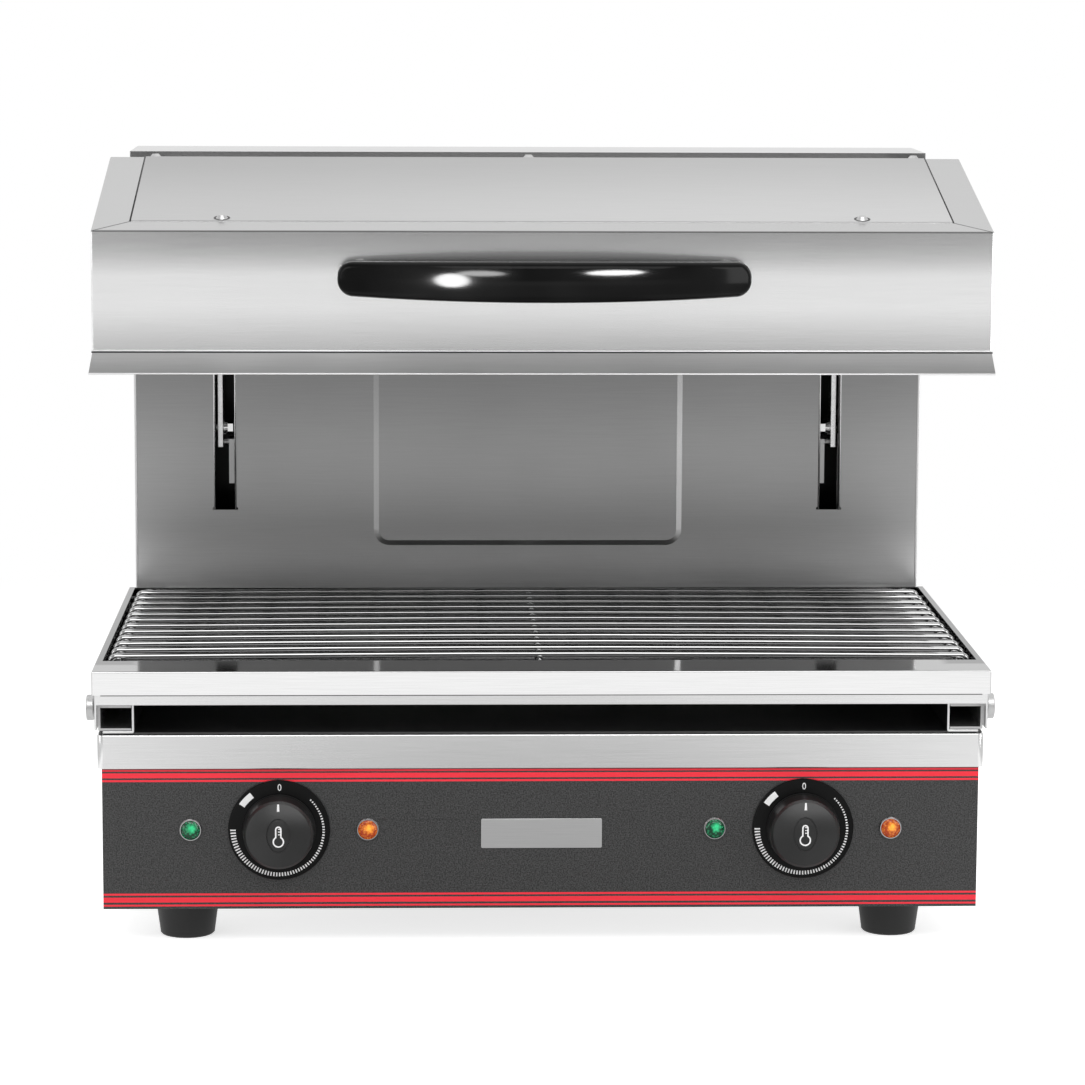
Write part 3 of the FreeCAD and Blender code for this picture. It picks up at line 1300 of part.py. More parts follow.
def make_roller(label, side, level):
    """Grooved lift roller on an axle bolt."""
    body = new_body(label)
    turn_profile(body, [
        ("axle_radius + turn_play", "0"), ("roller_radius - roller_bevel", "0"),
        ("roller_radius", "roller_bevel"), ("roller_radius", "roller_width - roller_bevel"),
        ("roller_radius - roller_bevel", "roller_width"),
        ("axle_radius + turn_play", "roller_width"),
    ])
    place(body, f"{side} * roller_x", "axle_y", level, FACE_RIGHT if side > 0 else FACE_LEFT)


def make_low_bar():
    """Lower cross bar with an upright plate at each end."""
    body = new_body("carriage_low_bar")
    plate = "arm_in_x - bar_end_gap"
    floor = "arm_low_z + 2 * axle_radius - bar_end_height"
    front, back = "arm_front_y + bar_inset", "arm_back_y - bar_inset"
    add_slab(body, "XY", floor, f"{floor} + bar_wall", [block(f"-({plate})", plate, front, back)])
    for side in (-1, 1):
        low, high = sorted((f"{side} * ({plate})", f"{side} * ({plate} - bar_end_wall)"), key=number)
        add_slab(body, "YZ", low, high, [block(front, back, floor, f"{floor} + bar_end_height")])
        low, high = sorted((f"{side} * ({plate})", f"{side} * arm_in_x"), key=number)
        add_slab(body, "YZ", low, high,
                 rings=[("axle_y", "arm_low_z + axle_radius", "axle_radius - axle_step")])


def make_high_bar():
    """Upper cross bar with two lugs that the gas struts push on."""
    body = new_body("carriage_high_bar")
    low = "high_bar_z"
    front = "arm_front_y"
    add_slab(body, "XY", low, f"{low} + bar_wall",
             [block("-arm_in_x", "arm_in_x", front, "arm_back_y")])
    add_slab(body, "XZ", front, f"{front} + bar_wall",
             [block("-arm_in_x", "arm_in_x", f"{low} + bar_wall", f"{low} + 6 * bar_wall")])
    for side in (-1, 1):
        x = f"{side} * strut_x"
        add_slab(body, "XY", low, f"{low} + bar_wall",
                 [block(f"{x} - 2 * strut_eye_radius", f"{x} + 2 * strut_eye_radius",
                        "arm_back_y", "strut_y + strut_radius")])


def make_strut_rod(label, side):
    """Gas strut's rod with its piston."""
    body = new_body(label)
    foot = "strut_high_z - rod_inside"
    turn_profile(body, [
        ("0", foot), ("strut_bore_radius - turn_play", foot),
        ("strut_bore_radius - turn_play", f"{foot} + 2 * rod_radius"),
        ("rod_radius", f"{foot} + 2 * rod_radius"), ("rod_radius", "high_bar_z"), ("0", "high_bar_z"),
    ])
    place(body, f"{side} * strut_x", "strut_y", "0")


# Fasteners

def dome_screw(x, y, z, turn, length):
    """Dome head on a shank; the flat side of the head lies at the given place."""
    head = doc.addObject("Part::Cone", "Head")
    bind(head, "Radius1", "dome_radius")
    bind(head, "Radius2", "dome_radius * 0.55")
    bind(head, "Height", "dome_height")
    shank = doc.addObject("Part::Cylinder", "Shank")
    bind(shank, "Radius", "screw_radius")
    bind(shank, "Height", length)
    bind(shank, "Placement.Base.z", f"-({length})")
    screw = doc.addObject("Part::Fuse", "Screw")
    screw.Base = head
    screw.Tool = shank
    return place(screw, x, y, z, turn)


def make_base_screws():
    """Screws that hold the feet and the rear cover."""
    screws = [dome_screw(x, y, "foot_height / 2", FACE_DOWN, "foot_height / 2 + cover_wall")
              for x in FOOT_X for y in FOOT_Y]
    screws += [dome_screw(f"-({x})", "back_y", z, FACE_BACK, "cover_wall") for x, z in REAR_SCREWS]
    keep_group(screws, "base_screws")


def make_top_screws():
    """Screws that hold the top panel on its ledge."""
    front_tilt = ((1, 0, 0), "atan(ridge_rise / ridge_setback)")
    rear_tilt = ((1, 0, 0), "-atan(rear_fall / (head_back_y - ridge_y))")
    front_z = "window_z + panel_proud + screw_inset * ridge_rise / ridge_setback"
    rear_z = "ridge_z + panel_proud - 2 * screw_inset * rear_fall / (head_back_y - ridge_y)"
    shank = "panel_proud + cover_wall / 2"
    screws = [dome_screw(x, TOP_SCREW_Y["front"], front_z, front_tilt, shank)
              for x in TOP_SCREWS["front"]]
    screws += [dome_screw(x, TOP_SCREW_Y["rear"], rear_z, rear_tilt, shank)
               for x in TOP_SCREWS["rear"]]
    keep_group(screws, "top_screws")


# Whole grill

make_base_pan()
for row, y in zip(("front", "rear"), FOOT_Y):
    for (name, side), x in zip(SIDES, FOOT_X):
        make_foot(f"foot_{row}_{name}", x, y)
make_fascia()
make_trim_band()
make_deck_plate()
make_splash_panel()
make_rear_cover()
make_column_cap()
make_bezels()
make_thermostats()
make_strut_feet()
make_lights()
make_terminal_block()
make_gland()
make_pan()
make_tray_frame()
make_rack()
make_head_shell()
make_top_panel()
make_head_back()
make_flared_lip()
make_handle()
make_reflector()
make_element_clips()
make_axle_bolts()
make_low_bar()
make_high_bar()
make_base_screws()
make_top_screws()
for name, side in SIDES:
    make_side_panel(f"side_panel_{name}", side)
    make_rail(f"slide_rail_{name}", side)
    make_guide(f"lift_channel_{name}", side)
    make_strut_cylinder(f"strut_cylinder_{name}", side)
    make_knob(f"knob_{name}", side)
    make_shaft(f"knob_shaft_{name}", side)
    make_runner(f"runner_{name}", side)
    make_thumbscrew(f"thumbscrew_{name}", side)
    make_element(f"heating_element_{name}", side)
    make_arm(f"lift_arm_{name}", side)
    make_roller(f"roller_low_{name}", side, "roller_low_z")
    make_roller(f"roller_high_{name}", side, "roller_high_z")
    make_strut_rod(f"strut_rod_{name}", side)

doc.recompute()


def check_and_write():
    """Stop at any failed object or bad shape, then write each sub-part."""
    faults = []
    for thing in doc.Objects:
        if "Invalid" in thing.State or "Error" in thing.State:
            owner = thing.getParentGeoFeatureGroup()
            faults.append(f"{thing.Name} of {owner.Label if owner else thing.Label}")
    if faults:
        raise SystemExit("failed: " + ", ".join(faults))
    for cut in CUTS:
        base = cut.BaseFeature
        if base is not None and cut.Shape.Volume > base.Shape.Volume - 0.01:
            raise SystemExit(f"{cut.Name} in {cut.getParentGeoFeatureGroup().Label} cuts nothing")
    labels = [node.Label for node in NODES]
    if len(set(labels)) != len(labels) or len(labels) > 60:
        raise SystemExit(f"{len(labels)} nodes, some with the same name or too many")
    os.makedirs("parts", exist_ok=True)
    for node in NODES:
        shape = node.Shape
        if shape.isNull() or not shape.isValid() or not shape.Solids:
            raise SystemExit(f"{node.Label} has no valid solid")
        shape.exportStep(f"parts/{node.Label}.step")
    print(f"{len(NODES)} nodes written")


check_and_write()
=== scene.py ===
"""Looks of the lifting grill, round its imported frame. Metres, +Z up, -Y the front."""

import math

import bmesh
import bpy
from mathutils import Matrix, Vector


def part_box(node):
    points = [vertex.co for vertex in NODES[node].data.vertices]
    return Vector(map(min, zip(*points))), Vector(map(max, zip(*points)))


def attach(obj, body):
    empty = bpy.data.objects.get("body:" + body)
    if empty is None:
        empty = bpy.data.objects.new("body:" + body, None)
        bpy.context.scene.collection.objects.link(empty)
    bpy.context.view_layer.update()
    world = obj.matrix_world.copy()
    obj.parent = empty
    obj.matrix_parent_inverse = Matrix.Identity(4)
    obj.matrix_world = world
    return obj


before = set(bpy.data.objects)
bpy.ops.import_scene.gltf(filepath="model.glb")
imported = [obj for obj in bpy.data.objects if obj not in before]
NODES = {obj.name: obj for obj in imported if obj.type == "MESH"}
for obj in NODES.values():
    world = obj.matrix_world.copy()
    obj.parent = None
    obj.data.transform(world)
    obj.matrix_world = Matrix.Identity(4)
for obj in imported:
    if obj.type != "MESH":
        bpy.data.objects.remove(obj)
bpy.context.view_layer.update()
MM = 0.001

# Photograph's camera
CAMERA_PLACE = Vector((-0.0863, -2.7921, 0.6601))
CAMERA_PITCH = math.radians(8.384)
CAMERA_YAW = math.radians(1.897)
CAMERA_ROLL = math.radians(0.24)
CAMERA_LENS = 130.9


def low(node):
    """Lowest corner of a CAD node."""
    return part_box(node)[0]


def high(node):
    """Highest corner of a CAD node."""
    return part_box(node)[1]


# Node trees

def new_material(name):
    """A material with an empty tree, its shader and its output."""
    material = bpy.data.materials.new(name)
    material.use_nodes = True
    tree = material.node_tree
    tree.nodes.clear()
    output = tree.nodes.new("ShaderNodeOutputMaterial")
    shader = tree.nodes.new("ShaderNodeBsdfPrincipled")
    tree.links.new(shader.outputs["BSDF"], output.inputs["Surface"])
    return material, tree, shader


def feed(tree, socket, value):
    """Link an output to a socket, or write a plain value there."""
    if isinstance(value, bpy.types.NodeSocket):
        tree.links.new(value, socket)
    else:
        socket.default_value = value


def sum_up(tree, operation, *values, clamp=False):
    """A Math node's result."""
    node = tree.nodes.new("ShaderNodeMath")
    node.operation = operation
    node.use_clamp = clamp
    for socket, value in zip(node.inputs, values):
        feed(tree, socket, value)
    return node.outputs[0]


def spot(tree, axis):
    """One coordinate of the shaded point, in metres."""
    place = tree.nodes.new("ShaderNodeTexCoord")
    axes = tree.nodes.new("ShaderNodeSeparateXYZ")
    tree.links.new(place.outputs["Object"], axes.inputs["Vector"])
    return axes.outputs[axis]


def grain(tree, scale, stretch=(1, 1, 1), detail=6.0):
    """Noise in the object's own space, stretched along its axes."""
    place = tree.nodes.new("ShaderNodeTexCoord")
    mapping = tree.nodes.new("ShaderNodeMapping")
    mapping.inputs["Scale"].default_value = stretch
    noise = tree.nodes.new("ShaderNodeTexNoise")
    noise.inputs["Scale"].default_value = scale
    noise.inputs["Detail"].default_value = detail
    tree.links.new(place.outputs["Object"], mapping.inputs["Vector"])
    tree.links.new(mapping.outputs["Vector"], noise.inputs["Vector"])
    return noise.outputs["Fac"]


def spread(tree, value, low_end, high_end, from_low=0.3, from_high=0.7, soft=False):
    """A value mapped to another range, and kept inside it."""
    node = tree.nodes.new("ShaderNodeMapRange")
    if soft:
        node.interpolation_type = "SMOOTHSTEP"
    node.inputs["From Min"].default_value = from_low
    node.inputs["From Max"].default_value = from_high
    node.inputs["To Min"].default_value = low_end
    node.inputs["To Max"].default_value = high_end
    tree.links.new(value, node.inputs["Value"])
    return node.outputs["Result"]


def soft_step(tree, value, start, end):
    """0 up to one value and 1 from another, with a soft change between them."""
    return spread(tree, value, 0.0, 1.0, start, end, soft=True)


def flat_length(tree, across, along):
    """Length of a flat vector from its two parts."""
    return sum_up(tree, "SQRT", sum_up(tree, "ADD", sum_up(tree, "POWER", across, 2.0),
                                       sum_up(tree, "POWER", along, 2.0)))


def blend(tree, share, first, second):
    """A value between two others."""
    node = tree.nodes.new("ShaderNodeMix")
    for socket, value in (("Factor", share), ("A", first), ("B", second)):
        feed(tree, node.inputs[socket], value)
    return node.outputs["Result"]


def tint(tree, value, dark, light):
    """A colour between two, by a value."""
    node = tree.nodes.new("ShaderNodeMix")
    node.data_type = "RGBA"
    for socket, colour in (("A", dark), ("B", light)):
        if not isinstance(colour, bpy.types.NodeSocket):
            colour = (*colour, 1)
        feed(tree, node.inputs[socket], colour)
    tree.links.new(value, node.inputs["Factor"])
    return node.outputs["Result"]


def bump(tree, shader, value, strength, distance):
    """A bump from a value, over any bump that the shader already has."""
    node = tree.nodes.new("ShaderNodeBump")
    node.inputs["Strength"].default_value = strength
    node.inputs["Distance"].default_value = distance
    tree.links.new(value, node.inputs["Height"])
    for link in list(shader.inputs["Normal"].links):
        tree.links.new(link.from_socket, node.inputs["Normal"])
    tree.links.new(node.outputs["Normal"], shader.inputs["Normal"])


def grey(level):
    """A neutral colour."""
    return (level, level, level)


# Materials

LINE_STRETCH = {None: (1, 1, 1), "X": (0.02, 1, 1), "Y": (1, 0.02, 1), "Z": (1, 1, 0.02)}
BRUSHED_SCALE, PLAIN_SCALE, CLOUD_SCALE = 1400, 260, 9


def metal(name, tone, rough, along=None, scratch=0.1, wear=0.06, zones=(), tilts=(), metallic=1.0):
    """Metal with fine lines along an axis and cloudy gloss.

    A zone scales the tone between two places on an axis, and a tilt turns the surface smoothly
    beyond a place, as a softly rolled sheet does.
    """
    material, tree, shader = new_material(name)
    shader.inputs["Metallic"].default_value = metallic
    lines = grain(tree, BRUSHED_SCALE if along else PLAIN_SCALE, LINE_STRETCH[along])
    clouds = grain(tree, CLOUD_SCALE, detail=3.0)
    mixed = sum_up(tree, "MULTIPLY_ADD", lines, 0.5, spread(tree, clouds, 0.0, 0.5))
    tree.links.new(spread(tree, mixed, rough * (1 - wear), rough * (1 + 2 * wear), 0.2, 0.9),
                   shader.inputs["Roughness"])
    colour = tint(tree, spread(tree, lines, 0.0, 1.0), grey(tone * (1 - wear)), grey(tone))
    for zone in zones:
        colour = tint(tree, zone_share(tree, zone), grey(0.0), colour)
    tree.links.new(colour, shader.inputs["Base Color"])
    roll(tree, shader, tilts)
    bump(tree, shader, lines, scratch, 0.0001)
    return material


def zone_share(tree, zone):
    """How much of the tone is left in a zone, and of two zones in a pair the lighter one's share.

    A zone is (axis, start, end, share at start, share at end). The axis "out_X" measures to both
    sides of the middle.
    """
    if isinstance(zone[0], tuple):
        return sum_up(tree, "MAXIMUM", *(zone_share(tree, one) for one in zone))
    axis, start, end, first, last = zone
    place = spot(tree, axis[-1])
    if axis.startswith("out_"):
        place = sum_up(tree, "ABSOLUTE", place)
    return spread(tree, place, first, last, start, end, soft=True)


def roll(tree, shader, tilts):
    """Turn the surface smoothly beyond a place on an axis, towards +1 or -1 along it."""
    for axis, start, way, amount in tilts:
        beyond = sum_up(tree, "MULTIPLY", sum_up(tree, "SUBTRACT", spot(tree, axis), start), way)
        beyond = sum_up(tree, "MAXIMUM", beyond, 0.0)
        height = sum_up(tree, "MULTIPLY", sum_up(tree, "POWER", beyond, 2.0), amount)
        bump(tree, shader, height, 1.0, 1.0)


def plastic(name, colour, rough, pebble=0.15, size=900, specular=0.5, tilts=()):
    """Moulded plastic or rubber with a fine pebble."""
    material, tree, shader = new_material(name)
    pebbles = grain(tree, size, detail=4.0)
    clouds = grain(tree, 14, detail=2.0)
    light = tuple(min(1.0, channel * 1.25 + 0.003) for channel in colour)
    tree.links.new(tint(tree, spread(tree, clouds, 0, 1), colour, light),
                   shader.inputs["Base Color"])
    tree.links.new(spread(tree, clouds, rough * 0.9, rough * 1.1), shader.inputs["Roughness"])
    shader.inputs["Specular IOR Level"].default_value = specular
    roll(tree, shader, tilts)
    bump(tree, shader, pebbles, pebble, 0.0002)
    return material


# The lit spot's place from a lens's middle, and its size as a share of the lens's radius
LENS_SPOT_RISE, LENS_SPOT_SIDE = 1.2 * MM, 0.8 * MM
LENS_SPOT_SHARE = 0.7
FACET_SCALE = 620


def lens(name, node, rim, heart, strength):
    """Clear coloured lens with moulded facets, lit from inside and darker at its rim."""
    material, tree, shader = new_material(name)
    facets = tree.nodes.new("ShaderNodeTexVoronoi")
    facets.inputs["Scale"].default_value = FACET_SCALE
    place = tree.nodes.new("ShaderNodeTexCoord")
    tree.links.new(place.outputs["Object"], facets.inputs["Vector"])
    lowest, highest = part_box(node)
    radius = (highest.z - lowest.z) / 2
    height = sum_up(tree, "SUBTRACT", spot(tree, "Z"), (lowest.z + highest.z) / 2 + LENS_SPOT_RISE)
    nearest = None
    for middle in (lowest.x + radius, highest.x - radius):
        across = sum_up(tree, "SUBTRACT", spot(tree, "X"), middle + LENS_SPOT_SIDE)
        away = flat_length(tree, across, height)
        nearest = away if nearest is None else sum_up(tree, "MINIMUM", nearest, away)
    share = spread(tree, nearest, 1.0, 0.0, 0.0, radius * LENS_SPOT_SHARE, soft=True)
    sparkle = spread(tree, facets.outputs["Distance"], 0.4, -0.2, 0.0, 0.9)
    colour = tint(tree, sum_up(tree, "ADD", share, sparkle, clamp=True), rim, heart)
    tree.links.new(colour, shader.inputs["Base Color"])
    tree.links.new(colour, shader.inputs["Emission Color"])
    shader.inputs["Emission Strength"].default_value = strength
    shader.inputs["Roughness"].default_value = 0.1
    bump(tree, shader, facets.outputs["Distance"], 0.4, 0.0006)
    return material


def ink(name, colour, rough=0.45):
    """Printed ink with a slight mottle."""
    material, tree, shader = new_material(name)
    mottle = grain(tree, 500, detail=3.0)
    dark = tuple(channel * 0.94 for channel in colour)
    tree.links.new(tint(tree, spread(tree, mottle, 0, 1), dark, colour),
                   shader.inputs["Base Color"])
    shader.inputs["Roughness"].default_value = rough
    bump(tree, shader, mottle, 0.05, 0.0001)
    return material


FOIL_DARK, FOIL_LIGHT = grey(0.014), grey(0.064)
STRIPE_RED = (0.80, 0.022, 0.042)
# Red lines below the trim band and above the fascia's lower edge, as (start, end) from each
UPPER_STRIPES = [(0.8 * MM, 2.1 * MM), (3.2 * MM, 6.6 * MM), (7.8 * MM, 9.2 * MM)]
LOWER_STRIPES = [(1.8 * MM, 3.1 * MM), (4.5 * MM, 8.0 * MM), (9.3 * MM, 10.7 * MM)]


def fascia_material():
    """Speckled dark foil with three red lines along its top and bottom edges."""
    material, tree, shader = new_material("fascia_foil")
    speckle = grain(tree, 1100, detail=9.0)
    foil = tint(tree, spread(tree, speckle, 0, 1, 0.36, 0.66), FOIL_DARK, FOIL_LIGHT)
    height = spot(tree, "Z")
    bottom, top = low("front_fascia").z, high("front_fascia").z
    lines = [(bottom + start, bottom + end) for start, end in LOWER_STRIPES]
    lines += [(top - end, top - start) for start, end in UPPER_STRIPES]
    total = 0.0
    for start, end in lines:
        inside = sum_up(tree, "COMPARE", height, (start + end) / 2, (end - start) / 2)
        total = sum_up(tree, "ADD", inside, total, clamp=True)
    tree.links.new(tint(tree, total, foil, STRIPE_RED), shader.inputs["Base Color"])
    shader.inputs["Roughness"].default_value = 0.42
    shader.inputs["Specular IOR Level"].default_value = 0.4
    bump(tree, shader, speckle, 0.3, 0.0003)
    return material


# The head's roof rises from its front edge to a ridge and falls towards the rear, in millimetres
RIDGE_RISE, RIDGE_RUN = 39.5, 176
REAR_FALL, REAR_RUN = 12.5, 162.5

SPLASH_Y = high("trim_band").y
RIM_Z = high("drip_pan").z
PAN_FRONT, PAN_SIDE = low("drip_pan").y, high("drip_pan").x
EDGE_Y = low("head_shell").y
EDGE_Z = high("head_shell").z - RIDGE_RISE * MM
FACE_LOW = low("head_shell").z
RIDGE_Y = EDGE_Y + RIDGE_RUN * MM
REAR_Y = high("rear_cover").y
RAIL_FRONT = low("slide_rail_left").y
CAP_FRONT = low("column_cap").y
WINDOW_Y = low("top_panel").y
WINDOW_Z = low("top_panel").z + 1.2 * MM
HANDLE_Z = (low("handle").z + high("handle").z) / 2

# Painted shade: a dark line under the face's upper edge, and darker strips above it
FACE_EDGE_SHADE = (("Z", EDGE_Z - 0.9 * MM, EDGE_Z - 0.4 * MM, 1.0, 0.25),
             ("Z", EDGE_Z + 0.1 * MM, EDGE_Z + 0.5 * MM, 0.0, 0.60))
# Painted shade on the pan: its rim at the front, the rims at its sides, and the basin inside them
PAN_RIM_SHADE = ("Z", RIM_Z - 0.8 * MM, RIM_Z - 0.1 * MM, 1.0, 0.40)
PAN_SIDE_RIMS_SHADE = ((("Z", RIM_Z - 0.8 * MM, RIM_Z - 0.1 * MM, 1.0, 0.3),
                  ("out_X", 268 * MM, 277 * MM, 1.0, 0.3)),
                 ("Y", PAN_FRONT + 22 * MM, PAN_FRONT + 30 * MM, 1.0, 0.3))
PAN_BASIN_SHADE = ((("Z", RIM_Z - 2 * MM, RIM_Z - 1 * MM, 0.25, 1.0),
              ("Y", PAN_FRONT + 1 * MM, PAN_FRONT + 2 * MM, 1.0, 0.25)),
             ("out_X", PAN_SIDE - 2 * MM, PAN_SIDE - 1 * MM, 0.25, 1.0))

# Painted shade along the upper edge and on the strips above it; the sides are painted slightly
# darker towards the rear
FACE_STEEL = metal("face_steel", 0.92, 0.21, "X", scratch=0.03, wear=0.04, tilts=[
    ("Z", EDGE_Z - 30 * MM, 1, -1.1), ("Z", FACE_LOW + 30 * MM, -1, 0.8)], zones=[
    FACE_EDGE_SHADE, ("Y", EDGE_Y + 14 * MM, EDGE_Y + 250 * MM, 1.0, 0.92)])
# Painted shade: the top panel darker towards the rear and towards the left
TOP_STEEL = metal("top_steel", 0.66, 0.32, "X", scratch=0.05, zones=[
    ("Y", WINDOW_Y + 5 * MM, WINDOW_Y + 170 * MM, 0.98, 0.76),
    ("X", -250 * MM, 200 * MM, 0.88, 1.0)])
# Painted shadow: the cap's front face darker
CAP_STEEL = metal("cap_steel", 0.70, 0.3, "X", zones=[
    ("Y", CAP_FRONT + 0.2 * MM, CAP_FRONT + 0.8 * MM, 0.33, 1.0)])
# Painted shade: near black below the pan's rim, and darker step by step higher up under the head
SPLASH_STEEL = metal("splash_steel", 0.72, 0.33, "X", scratch=0.08, zones=[
    ("Z", RIM_Z - 9 * MM, RIM_Z - 1 * MM, 0.12, 1.0),
    ("Z", RIM_Z + 8 * MM, RIM_Z + 52 * MM, 1.0, 0.60),
    ("Z", RIM_Z + 90 * MM, RIM_Z + 170 * MM, 1.0, 0.72)])
REAR_STEEL = metal("rear_steel", 0.66, 0.36, "X")
# Painted shade: the deck plate toned very dark, as it lies in shade under the pan
DECK_STEEL = metal("deck_steel", 0.12, 0.45, "X")
SIDE_STEEL = metal("side_steel", 0.78, 0.32, "Y")
# Painted shade: a lower tone than the face, and darker towards the lip's lower edge
LIP_STEEL = metal("lip_steel", 0.60, 0.30, "X", scratch=0.07, zones=[
    ("Z", low("flared_lip").z, high("flared_lip").z, 0.72, 1.0)])
PAN_STEEL = metal("pan_steel", 0.94, 0.08, "X", scratch=0.03,
                  zones=[PAN_RIM_SHADE, PAN_SIDE_RIMS_SHADE, PAN_BASIN_SHADE])
FRAME_STEEL = metal("frame_steel", 0.90, 0.2, "X", scratch=0.12)
TRIM_STEEL = metal("trim_steel", 0.84, 0.25, "X", scratch=0.12)
# Painted shade: chrome toned down so the wires read dark under the head
RACK_CHROME = metal("rack_chrome", 0.48, 0.05, None, scratch=0.02, wear=0.03)
RING_CHROME = metal("ring_chrome", 0.5, 0.12, None, scratch=0.02, wear=0.03)
# Painted shade: the rail dark inside its channel behind its front end
RAIL_ZINC = metal("rail_zinc", 0.9, 0.35, "Z", zones=[
    ("Y", RAIL_FRONT + 0.5 * MM, RAIL_FRONT + 1.5 * MM, 1.0, 0.12)])
CHROME = metal("chrome", 0.85, 0.1, None, scratch=0.02, wear=0.03)
# Painted highlight: near-white, mostly diffuse steel, so that the hem beads show as bright lines
HEM_HIGHLIGHT_STEEL = metal("hem_painted_highlight", 0.92, 0.3, None, scratch=0.03, wear=0.02, metallic=0.2)
BEND_STEEL = metal("bend_steel", 0.97, 0.16, None, scratch=0.02, wear=0.02)
SCREW_STEEL = metal("screw_steel", 0.6, 0.38, None, scratch=0.05)
# Painted shade: the cover near black everywhere but its rear face
COVER_STEEL = metal("cover_steel", 0.66, 0.36, "X", zones=[
    ("Y", REAR_Y - 0.6 * MM, REAR_Y - 0.3 * MM, 0.06, 1.0)])
ZINC = metal("zinc", 0.62, 0.4, "Z")
ARM_ZINC = metal("arm_zinc", 0.97, 0.24, None, scratch=0.5, wear=0.2)
ALUMINISED = metal("aluminised", 0.5, 0.45, None, scratch=0.2)
SHEATH = metal("heater_sheath", 0.16, 0.55, None, scratch=0.3)
GLOSS_BLACK = plastic("gloss_black", grey(0.0005), 0.09, pebble=0.01, specular=0.09,
                      tilts=[("Z", HANDLE_Z, 1, -7.0), ("Z", HANDLE_Z, -1, -7.0)])
RING_BLACK = plastic("ring_black", grey(0.002), 0.3, pebble=0.05, specular=0.15)
RUBBER = plastic("rubber", grey(0.008), 0.5, pebble=0.3)
DARK_PLASTIC = plastic("dark_plastic", grey(0.015), 0.5)
GREY_CASING = plastic("grey_casing", grey(0.3), 0.5)
CERAMIC = plastic("ceramic", (0.8, 0.8, 0.77), 0.35)
GREEN = lens("green_lens_glow", "green_lenses", (0.0, 0.03, 0.012), (0.03, 0.50, 0.20), 0.35)
AMBER = lens("amber_lens_glow", "amber_lenses", (0.26, 0.028, 0.002), (1.0, 0.36, 0.04), 0.4)
WHITE_INK = ink("white_ink", grey(0.82))
# Dark ink for real seams, and for painted shadow lines and rings
DARK_SEAM_AND_SHADOW = ink("dark_seam_and_painted_shadow", grey(0.02))
PLATE_STEEL = metal("plate_steel", 0.7, 0.3, "X", scratch=0.3)

FINISHES = {
    FACE_STEEL: ("head_shell",),
    TOP_STEEL: ("top_panel",),
    CAP_STEEL: ("column_cap",),
    SPLASH_STEEL: ("splash_panel",),
    REAR_STEEL: ("head_back",),
    COVER_STEEL: ("rear_cover",),
    SCREW_STEEL: ("top_screws",),
    DECK_STEEL: ("deck_plate",),
    SIDE_STEEL: ("side_panel_left", "side_panel_right"),
    LIP_STEEL: ("flared_lip",),
    PAN_STEEL: ("drip_pan",),
    FRAME_STEEL: ("tray_frame",),
    TRIM_STEEL: ("trim_band",),
    RACK_CHROME: ("wire_rack",),
    RING_CHROME: ("light_rings",),
    RAIL_ZINC: ("slide_rail_left", "slide_rail_right"),
    CHROME: ("base_screws", "strut_rod_left", "strut_rod_right", "axle_bolts"),
    ZINC: ("base_pan", "runner_left", "runner_right", "lift_channel_left", "lift_channel_right",
           "strut_feet", "carriage_low_bar", "carriage_high_bar", "element_bars",
           "knob_shaft_left", "knob_shaft_right", "thumbscrew_left", "thumbscrew_right"),
    ARM_ZINC: ("lift_arm_left", "lift_arm_right"),
    ALUMINISED: ("reflector",),
    SHEATH: ("heating_element_left", "heating_element_right"),
    GLOSS_BLACK: ("handle",),
    RING_BLACK: ("dial_rings",),
    RUBBER: ("foot_front_left", "foot_front_right", "foot_rear_left", "foot_rear_right"),
    DARK_PLASTIC: ("cable_gland", "roller_low_left", "roller_low_right", "roller_high_left",
                   "roller_high_right"),
    GREY_CASING: ("thermostats", "strut_cylinder_left", "strut_cylinder_right"),
    CERAMIC: ("terminal_block",),
    GREEN: ("green_lenses",),
    AMBER: ("amber_lenses",),
}
# Rounding of the sheets' edges, in millimetres
EDGE_ROUNDING = {
    "head_shell": 0.8, "side_panel_left": 0.5, "side_panel_right": 0.5, "column_cap": 0.4,
    "tray_frame": 0.4, "trim_band": 0.5, "slide_rail_left": 0.3, "slide_rail_right": 0.3,
    "front_fascia": 0.3, "lift_arm_left": 0.4, "lift_arm_right": 0.4,
}


def paint(piece, material):
    """Give a piece one material."""
    piece.data.materials.clear()
    piece.data.materials.append(material)


def dial_centre(side):
    """Middle of a dial as (x, z)."""
    lowest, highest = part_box(f"knob_{side}")
    return (lowest.x + highest.x) / 2, (lowest.z + highest.z) / 2


def finish_nodes():
    """Put a material on every CAD node and break the sharp sheet edges."""
    for material, names in FINISHES.items():
        for name in names:
            paint(NODES[name], material)
    paint(NODES["front_fascia"], fascia_material())
    for side in ("left", "right"):
        x, z = dial_centre(side)
        domed = [("Z", z - 6 * MM, 1, -11.0), ("X", x + 4 * MM, -1, -8.0), ("X", x, 1, -3.0)]
        paint(NODES[f"knob_{side}"], plastic(f"knob_{side}_black", grey(0.009), 0.36,
                                             pebble=0.25, size=1500, tilts=domed))
    for name, width in EDGE_ROUNDING.items():
        weld = NODES[name].modifiers.new("weld", "WELD")
        weld.merge_threshold = 0.01 * MM
        bevel = NODES[name].modifiers.new("edges", "BEVEL")
        bevel.width = width * MM
        bevel.segments = 2
        bevel.limit_method = "ANGLE"
        bevel.angle_limit = math.radians(35)
        bevel.harden_normals = False


# Mesh helpers

def mesh_piece(name, vertices, faces, material, body):
    """A mesh piece that rides on a body."""
    mesh = bpy.data.meshes.new(name)
    mesh.from_pydata([tuple(vertex) for vertex in vertices], [], faces)
    mesh.update()
    piece = bpy.data.objects.new(name, mesh)
    bpy.context.scene.collection.objects.link(piece)
    paint(piece, material)
    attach(piece, body)
    return piece


